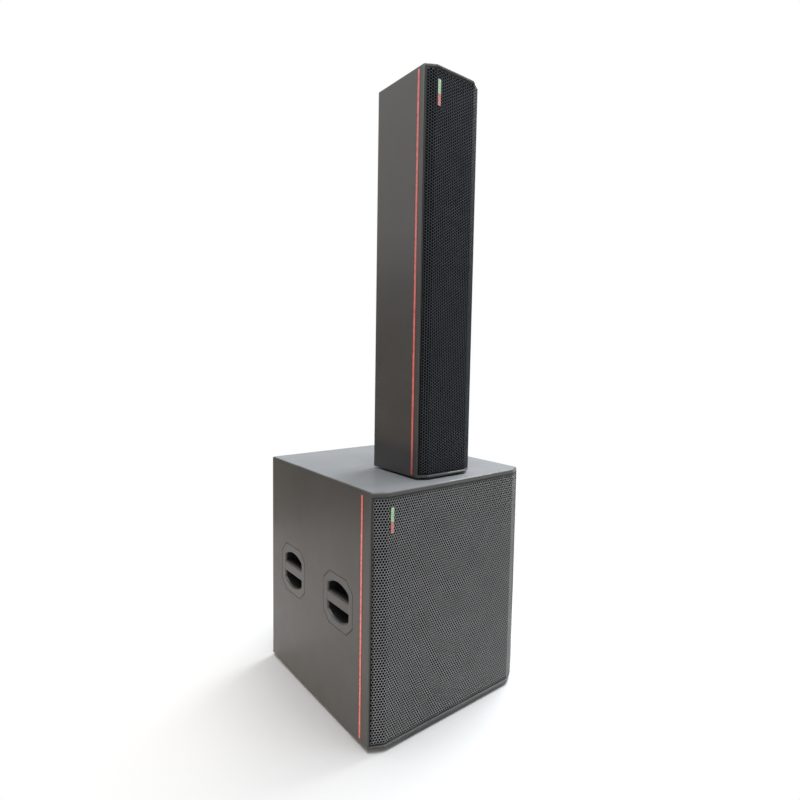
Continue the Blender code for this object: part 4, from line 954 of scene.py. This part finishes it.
def button(name, node, body, floor):
    """Push button with a domed cap."""
    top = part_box(node)[1].y - floor
    profile = [(BUTTON_TOP[0][0], -BUTTON_REACH)] + [(radius, top - drop) for radius, drop in BUTTON_TOP]
    mesh = mesh_of(name, lambda shape: turned(shape, on_back(node, floor), profile, BUTTON_SIDES), SMOOTH)
    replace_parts(add_piece(name, mesh, body, "control_plastic", KNOB_PLASTIC), node)


def panel_marks(name, knobs, groups, floor):
    """Printed scale round each knob and a frame round each group of sockets."""

    def frame_line(part, low, high):
        (left, bottom), (right, top) = low, high
        lower, upper = bottom + PRINT_LINE, top - PRINT_LINE
        for a, b in (
            ((left, bottom), (right, lower)), ((left, upper), (right, top)),
            ((left, lower), (left + PRINT_LINE, upper)), ((right - PRINT_LINE, lower), (right, upper)),
        ):
            box(part, (a[0], floor, a[1]), (b[0], floor + PRINT, b[1]))

    def build(shape):
        for node in knobs:
            for i in range(TICKS):
                angle = TICK_TURN * (2 * i / (TICKS - 1) - 1)
                matrix = on_back(node, floor) @ Matrix.Rotation(-angle, 4, "Z")
                half, tall = TICK_SIZE[0] / 2, TICK_SIZE[1] / 2
                low = (-half, TICK_RADIUS - tall, 0.0)
                high = (half, TICK_RADIUS + tall, PRINT)
                put(shape, lambda part: box(part, low, high), matrix)
        for group in groups:
            corners = [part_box(node) for node in group]
            low = [min(c[0][axis] for c in corners) - PRINT_MARGIN for axis in (0, 2)]
            high = [max(c[1][axis] for c in corners) + PRINT_MARGIN for axis in (0, 2)]
            frame_line(shape, low, high)

    add_piece(name, mesh_of(name, build), SUB, "tray_metal", MARK_PAINT)


def nuts(name, nodes, floor):
    """Ring nuts round the controls."""

    def build(shape):
        for node in nodes:
            ring(shape, on_back(node, floor), *NUT)

    add_piece(name, mesh_of(name, build, SMOOTH), SUB, "bare_metal", SHELL_METAL)


def socket_screws(shape, matrix, material):
    """Two screws in opposite corners of a socket's flange."""
    across, along = SOCKET_SCREW_SPREAD
    for side in (-1, 1):
        corner = matrix @ Matrix.Translation((side * across, side * along, 0.0))
        screw_head(shape, corner, *SMALL_SCREW, material)


def line_fitting(name, node):
    """Bright ring, three contacts and a release tab on a line socket."""
    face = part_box(node)[1].y

    def build(shape):
        matrix = on_back(node, face)
        ring(shape, matrix, *LINE_RING, 0)
        socket_screws(shape, matrix, 1)
        floor = matrix @ Matrix.Translation((0.0, 0.0, -LINE_RECESS))
        for angle in LINE_PIN_ANGLES:
            turn_to = floor @ Matrix.Rotation(math.radians(angle), 4, "Z")
            pin = turn_to @ Matrix.Translation((LINE_PIN_RADIUS, 0.0, 0.0))
            ring(shape, pin, *LINE_PIN, 2, LINE_PIN_SIDES)
        put(shape, lambda part: box(part, *LINE_TAB, 0, LINE_TAB_ROUND), floor, 1)

    mesh = mesh_of(name, build, SMOOTH)
    add_piece(name, mesh, SUB, "bare_metal", SHELL_METAL, SCREW_METAL, PIN_METAL)


def speaker_fitting(name, node, body):
    """Keyed ring, contacts and screws on a twist-lock speaker socket."""
    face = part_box(node)[1].y

    def build(shape):
        matrix = on_back(node, face)
        ring(shape, matrix, *SPEAKER_RING, 0)
        ring(shape, matrix, *SPEAKER_POST_RING, 0)
        socket_screws(shape, matrix, 1)
        for i in range(SPEAKER_CONTACTS):
            turn_to = matrix @ Matrix.Rotation(2 * math.pi * (i + 0.5) / SPEAKER_CONTACTS, 4, "Z")
            put(shape, lambda part: box(part, *SPEAKER_CONTACT), turn_to, 2)

    mesh = mesh_of(name, build, SMOOTH)
    add_piece(name, mesh, body, "bare_metal", SHELL_METAL, SCREW_METAL, PIN_METAL)


def inlet_blades(name, node):
    """Three flat contacts in the mouth of the mains inlet."""
    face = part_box(node)[1].y
    z = middle_of(node)[1]
    wide, thin, tall = INLET_BLADE

    def build(shape):
        bottom = face - INLET_MOUTH_DEPTH
        for across, along in INLET_BLADES:
            x = INLET_MOUTH + across
            low = (x - wide / 2, bottom, z + along - thin / 2)
            high = (x + wide / 2, bottom + tall, z + along + thin / 2)
            box(shape, low, high, 0, INLET_BLADE_ROUND)

    add_piece(name, mesh_of(name, build), SUB, "bare_metal", PIN_METAL)


def rocker(name, node, body):
    """Dished rocker with a white line on one end and a ring on the other."""
    matrix = Matrix.Translation(ROCKER_PIVOT) @ Matrix.Rotation(ROCKER_TILT, 4, "Z") @ BACK
    across, along = ROCKER_HALF
    middle, rise = ROCKER_DISH
    section = [(across, -ROCKER_SEAT), (-across, -ROCKER_SEAT)]
    for i in range(ROCKER_STEPS + 1):
        u = 2 * i / ROCKER_STEPS - 1
        section.append((across * u, middle + rise * u * u))
    slope = math.atan2(2 * rise * ROCKER_RING_PLACE[0], across**2)
    lean = Matrix.Translation(ROCKER_RING_PLACE) @ Matrix.Rotation(-slope, 4, "Y")
    stand = Matrix(((1, 0, 0, 0), (0, 0, 1, 0), (0, 1, 0, 0), (0, 0, 0, 1)))

    def build(shape):
        put(shape, lambda part: raised_plan(part, section, -along, along), matrix @ stand)
        bmesh.ops.recalc_face_normals(shape, faces=shape.faces)
        put(shape, lambda part: box(part, *ROCKER_LINE), matrix, 1)
        ring(shape, matrix @ lean, *ROCKER_RING, 1, ROCKER_RING_SIDES)

    mesh = mesh_of(name, build, SMOOTH)
    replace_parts(add_piece(name, mesh, body, "control_plastic", KNOB_PLASTIC, MARK_PAINT), node)


def rim_places(node, inset, rows, columns):
    """Places along the edge of a plate on its back face, as many as asked for on each side."""
    low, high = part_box(node)
    left, right = low.x + inset, high.x - inset
    bottom, top = low.z + inset, high.z - inset
    places = []
    for i in range(columns):
        x = left + (right - left) * i / (columns - 1)
        places += [(x, high.y, bottom), (x, high.y, top)]
    for i in range(1, rows - 1):
        z = bottom + (top - bottom) * i / (rows - 1)
        places += [(left, high.y, z), (right, high.y, z)]
    return places


# Stage: floor, world, lamps and camera


def seen_directly(tree):
    """1 where a camera ray, a reflection or a ray through glass meets the surface."""
    path = tree.nodes.new("ShaderNodeLightPath")
    found = path.outputs["Is Camera Ray"]
    for kind in ("Is Glossy Ray", "Is Transmission Ray"):
        either = tree.nodes.new("ShaderNodeMath")
        either.operation = "MAXIMUM"
        tree.links.new(found, either.inputs[0])
        tree.links.new(path.outputs[kind], either.inputs[1])
        found = either.outputs["Value"]
    return found


def sheet(name, reach):
    """A flat square that reaches that far from its middle to each side."""
    return mesh_of(name, lambda shape: bmesh.ops.create_grid(shape, x_segments=1, y_segments=1, size=reach))


def stage_floor():
    """Pale floor that runs out into white, and keeps the shadow near the object."""
    pale = Finish("floor_pale", grey(FLOOR_GREY), FLOOR_ROUGHNESS, Specular_IOR_Level=FLOOR_SPECULAR)
    reach = pale.node("ShaderNodeVectorMath")
    reach.operation = "LENGTH"
    pale.link(pale.place, reach.inputs[0])
    fade = pale.node("ShaderNodeMapRange")
    fade.interpolation_type = "SMOOTHSTEP"
    fade.inputs["From Min"].default_value, fade.inputs["From Max"].default_value = FLOOR_FADE
    pale.link(reach.outputs["Value"], fade.inputs["Value"])
    factor = pale.node("ShaderNodeMath")
    factor.operation = "MULTIPLY"
    pale.link(fade.outputs["Result"], factor.inputs[0])
    pale.link(seen_directly(pale.tree), factor.inputs[1])
    mix = pale.node("ShaderNodeMixShader")
    pale.link(factor.outputs["Value"], mix.inputs["Fac"])
    pale.link(pale.shader.outputs["BSDF"], mix.inputs[1])
    pale.link(pale.node("ShaderNodeEmission").outputs["Emission"], mix.inputs[2])
    pale.link(mix.outputs["Shader"], pale.tree.nodes["Material Output"].inputs["Surface"])
    mesh = sheet("floor", FLOOR_REACH)
    mesh.materials.append(pale.made)
    floor = linked("floor", mesh)


def stage_world():
    """White to the camera and in reflections, softer as a light."""
    world = bpy.data.worlds.new("studio")
    bpy.context.scene.world = world
    world.use_nodes = True
    tree = world.node_tree
    light = tree.nodes["Background"]
    light.inputs["Color"].default_value = (1.0, 1.0, 1.0, 1.0)
    light.inputs["Strength"].default_value = WORLD_LIGHT
    white = tree.nodes.new("ShaderNodeBackground")
    white.inputs["Color"].default_value = (1.0, 1.0, 1.0, 1.0)
    mix = tree.nodes.new("ShaderNodeMixShader")
    tree.links.new(seen_directly(tree), mix.inputs["Fac"])
    tree.links.new(light.outputs["Background"], mix.inputs[1])
    tree.links.new(white.outputs["Background"], mix.inputs[2])
    tree.links.new(mix.outputs["Shader"], tree.nodes["World Output"].inputs["Surface"])


def stand_facing(made, place, aim):
    """Puts a lamp or a card at a place, turned to a point."""
    made.location = place
    made.rotation_euler = (Vector(aim) - Vector(place)).to_track_quat("-Z", "Y").to_euler()


def dark_card(name, place, aim, size):
    """Card that darkens the reflections in one side; the camera doesn't see it."""
    mesh = sheet(name, 0.5)
    mesh.transform(Matrix.Diagonal((*size, 1.0, 1.0)))
    mesh.materials.append(Finish(name, grey(CARD_GREY), CARD_ROUGHNESS).made)
    made = linked(name, mesh)
    made.visible_camera = False
    stand_facing(made, place, aim)


def lamp(name, place, aim, size, power, colour):
    """Soft rectangular lamp; the camera doesn't see it."""
    data = bpy.data.lights.new(name, "AREA")
    data.shape = "RECTANGLE"
    data.size, data.size_y = size
    data.energy = power
    data.color = colour
    made = linked(name, data)
    made.visible_camera = False
    stand_facing(made, place, aim)
    return made


def camera():
    """Camera of the photograph, with its slight roll and shift."""
    data = bpy.data.cameras.new("camera")
    data.sensor_width = CAMERA_SENSOR
    data.lens = CAMERA_LENS
    data.shift_x, data.shift_y = CAMERA_SHIFT
    made = linked("camera", data)
    ahead = Vector((math.sin(CAMERA_YAW), math.cos(CAMERA_YAW), 0.0))
    forward = math.cos(CAMERA_PITCH) * ahead + Vector((0.0, 0.0, math.sin(CAMERA_PITCH)))
    level = Vector((math.cos(CAMERA_YAW), -math.sin(CAMERA_YAW), 0.0))
    upward = level.cross(forward)
    right = math.cos(CAMERA_ROLL) * level + math.sin(CAMERA_ROLL) * upward
    up = math.cos(CAMERA_ROLL) * upward - math.sin(CAMERA_ROLL) * level
    axes = Matrix((right, up, -forward)).transposed()
    made.matrix_world = Matrix.Translation(CAMERA_PLACE) @ axes.to_4x4()
    bpy.context.scene.camera = made


# Every CAD node gets its finish; those that no piece below replaces keep their solids
for part in frame["record"]["subparts"]:
    frame["nodes"][part["node"]].material_slots[0].material = SLOT_FINISHES[part["material_slot"]]

cabinet("sub_painted_cabinet", "sub_cabinet", SUB, SUB_CHAMFER, SUB_ROUND)
cabinet("column_painted_cabinet", "column_cabinet", COLUMN, COLUMN_CHAMFER, COLUMN_ROUND)
grille("sub_mesh_grille", "sub_grille", SUB, SUB_FOLD, SUB_HOLES, SUB_BORDER, False, SUB_GRILLE_PAINT)
grille(
    "column_mesh_grille", "column_grille", COLUMN, COLUMN_FOLD, COLUMN_HOLES, COLUMN_BORDER, True,
    COLUMN_GRILLE_PAINT,
)
level_bar("sub_lamp_bar", "sub_level_bar", SUB)
level_bar("column_lamp_bar", "column_level_bar", COLUMN)
for side in ("left", "right"):
    accent(f"sub_bead_{side}", f"sub_accent_{side}", SUB)
    accent(f"column_bead_{side}", f"column_accent_{side}", COLUMN)

for place in ("front_left", "front_right", "back_left", "back_right"):
    handle(f"sub_grip_{place}", f"sub_handle_{place}")

tray_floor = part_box("amp_tray")[1].y - TRAY_DEPTH
LEVEL_KNOBS = {use: f"{use}_level_knob" for use in ("gain", "bass", "column")}
LINE_SOCKETS = ("line_in_left_socket", "line_in_right_socket", "line_out_socket")
SPEAKER_SOCKETS = ("speaker_out_left_socket", "speaker_out_right_socket")
for use, node in LEVEL_KNOBS.items():
    knob(f"{use}_fluted_knob", node, f"{use}_knob", tray_floor)
button("mode_domed_button", "mode_button", "mode_push_button", tray_floor)
nuts("control_nuts", [*LEVEL_KNOBS.values(), "mode_button"], tray_floor)
socket_groups = (LINE_SOCKETS, SPEAKER_SOCKETS, ("power_inlet",))
panel_marks("panel_print", LEVEL_KNOBS.values(), socket_groups, tray_floor)
for node in LINE_SOCKETS:
    line_fitting(f"{node}_contacts", node)
for node in SPEAKER_SOCKETS:
    speaker_fitting(f"{node}_contacts", node, SUB)
speaker_fitting("column_input_contacts", "column_input_socket", COLUMN)
inlet_blades("power_inlet_blades", "power_inlet")
rocker("power_dished_rocker", "power_switch", "power_rocker")
screws("tray_screws", rim_places("amp_tray", *TRAY_SCREWS), SUB)
screws("column_plate_screws", rim_places("column_plate", *PLATE_SCREWS), COLUMN)

stage_floor()
stage_world()
lamp("overhead", *OVERHEAD)
lamp("edge_light", *EDGE_LIGHT)
lamp("low_left", *LOW_LEFT).visible_glossy = False
lamp("glint", *GLINT).visible_diffuse = False
dark_card("dark_card", *CARD)
camera()
bpy.context.scene.view_settings.view_transform = "Standard"
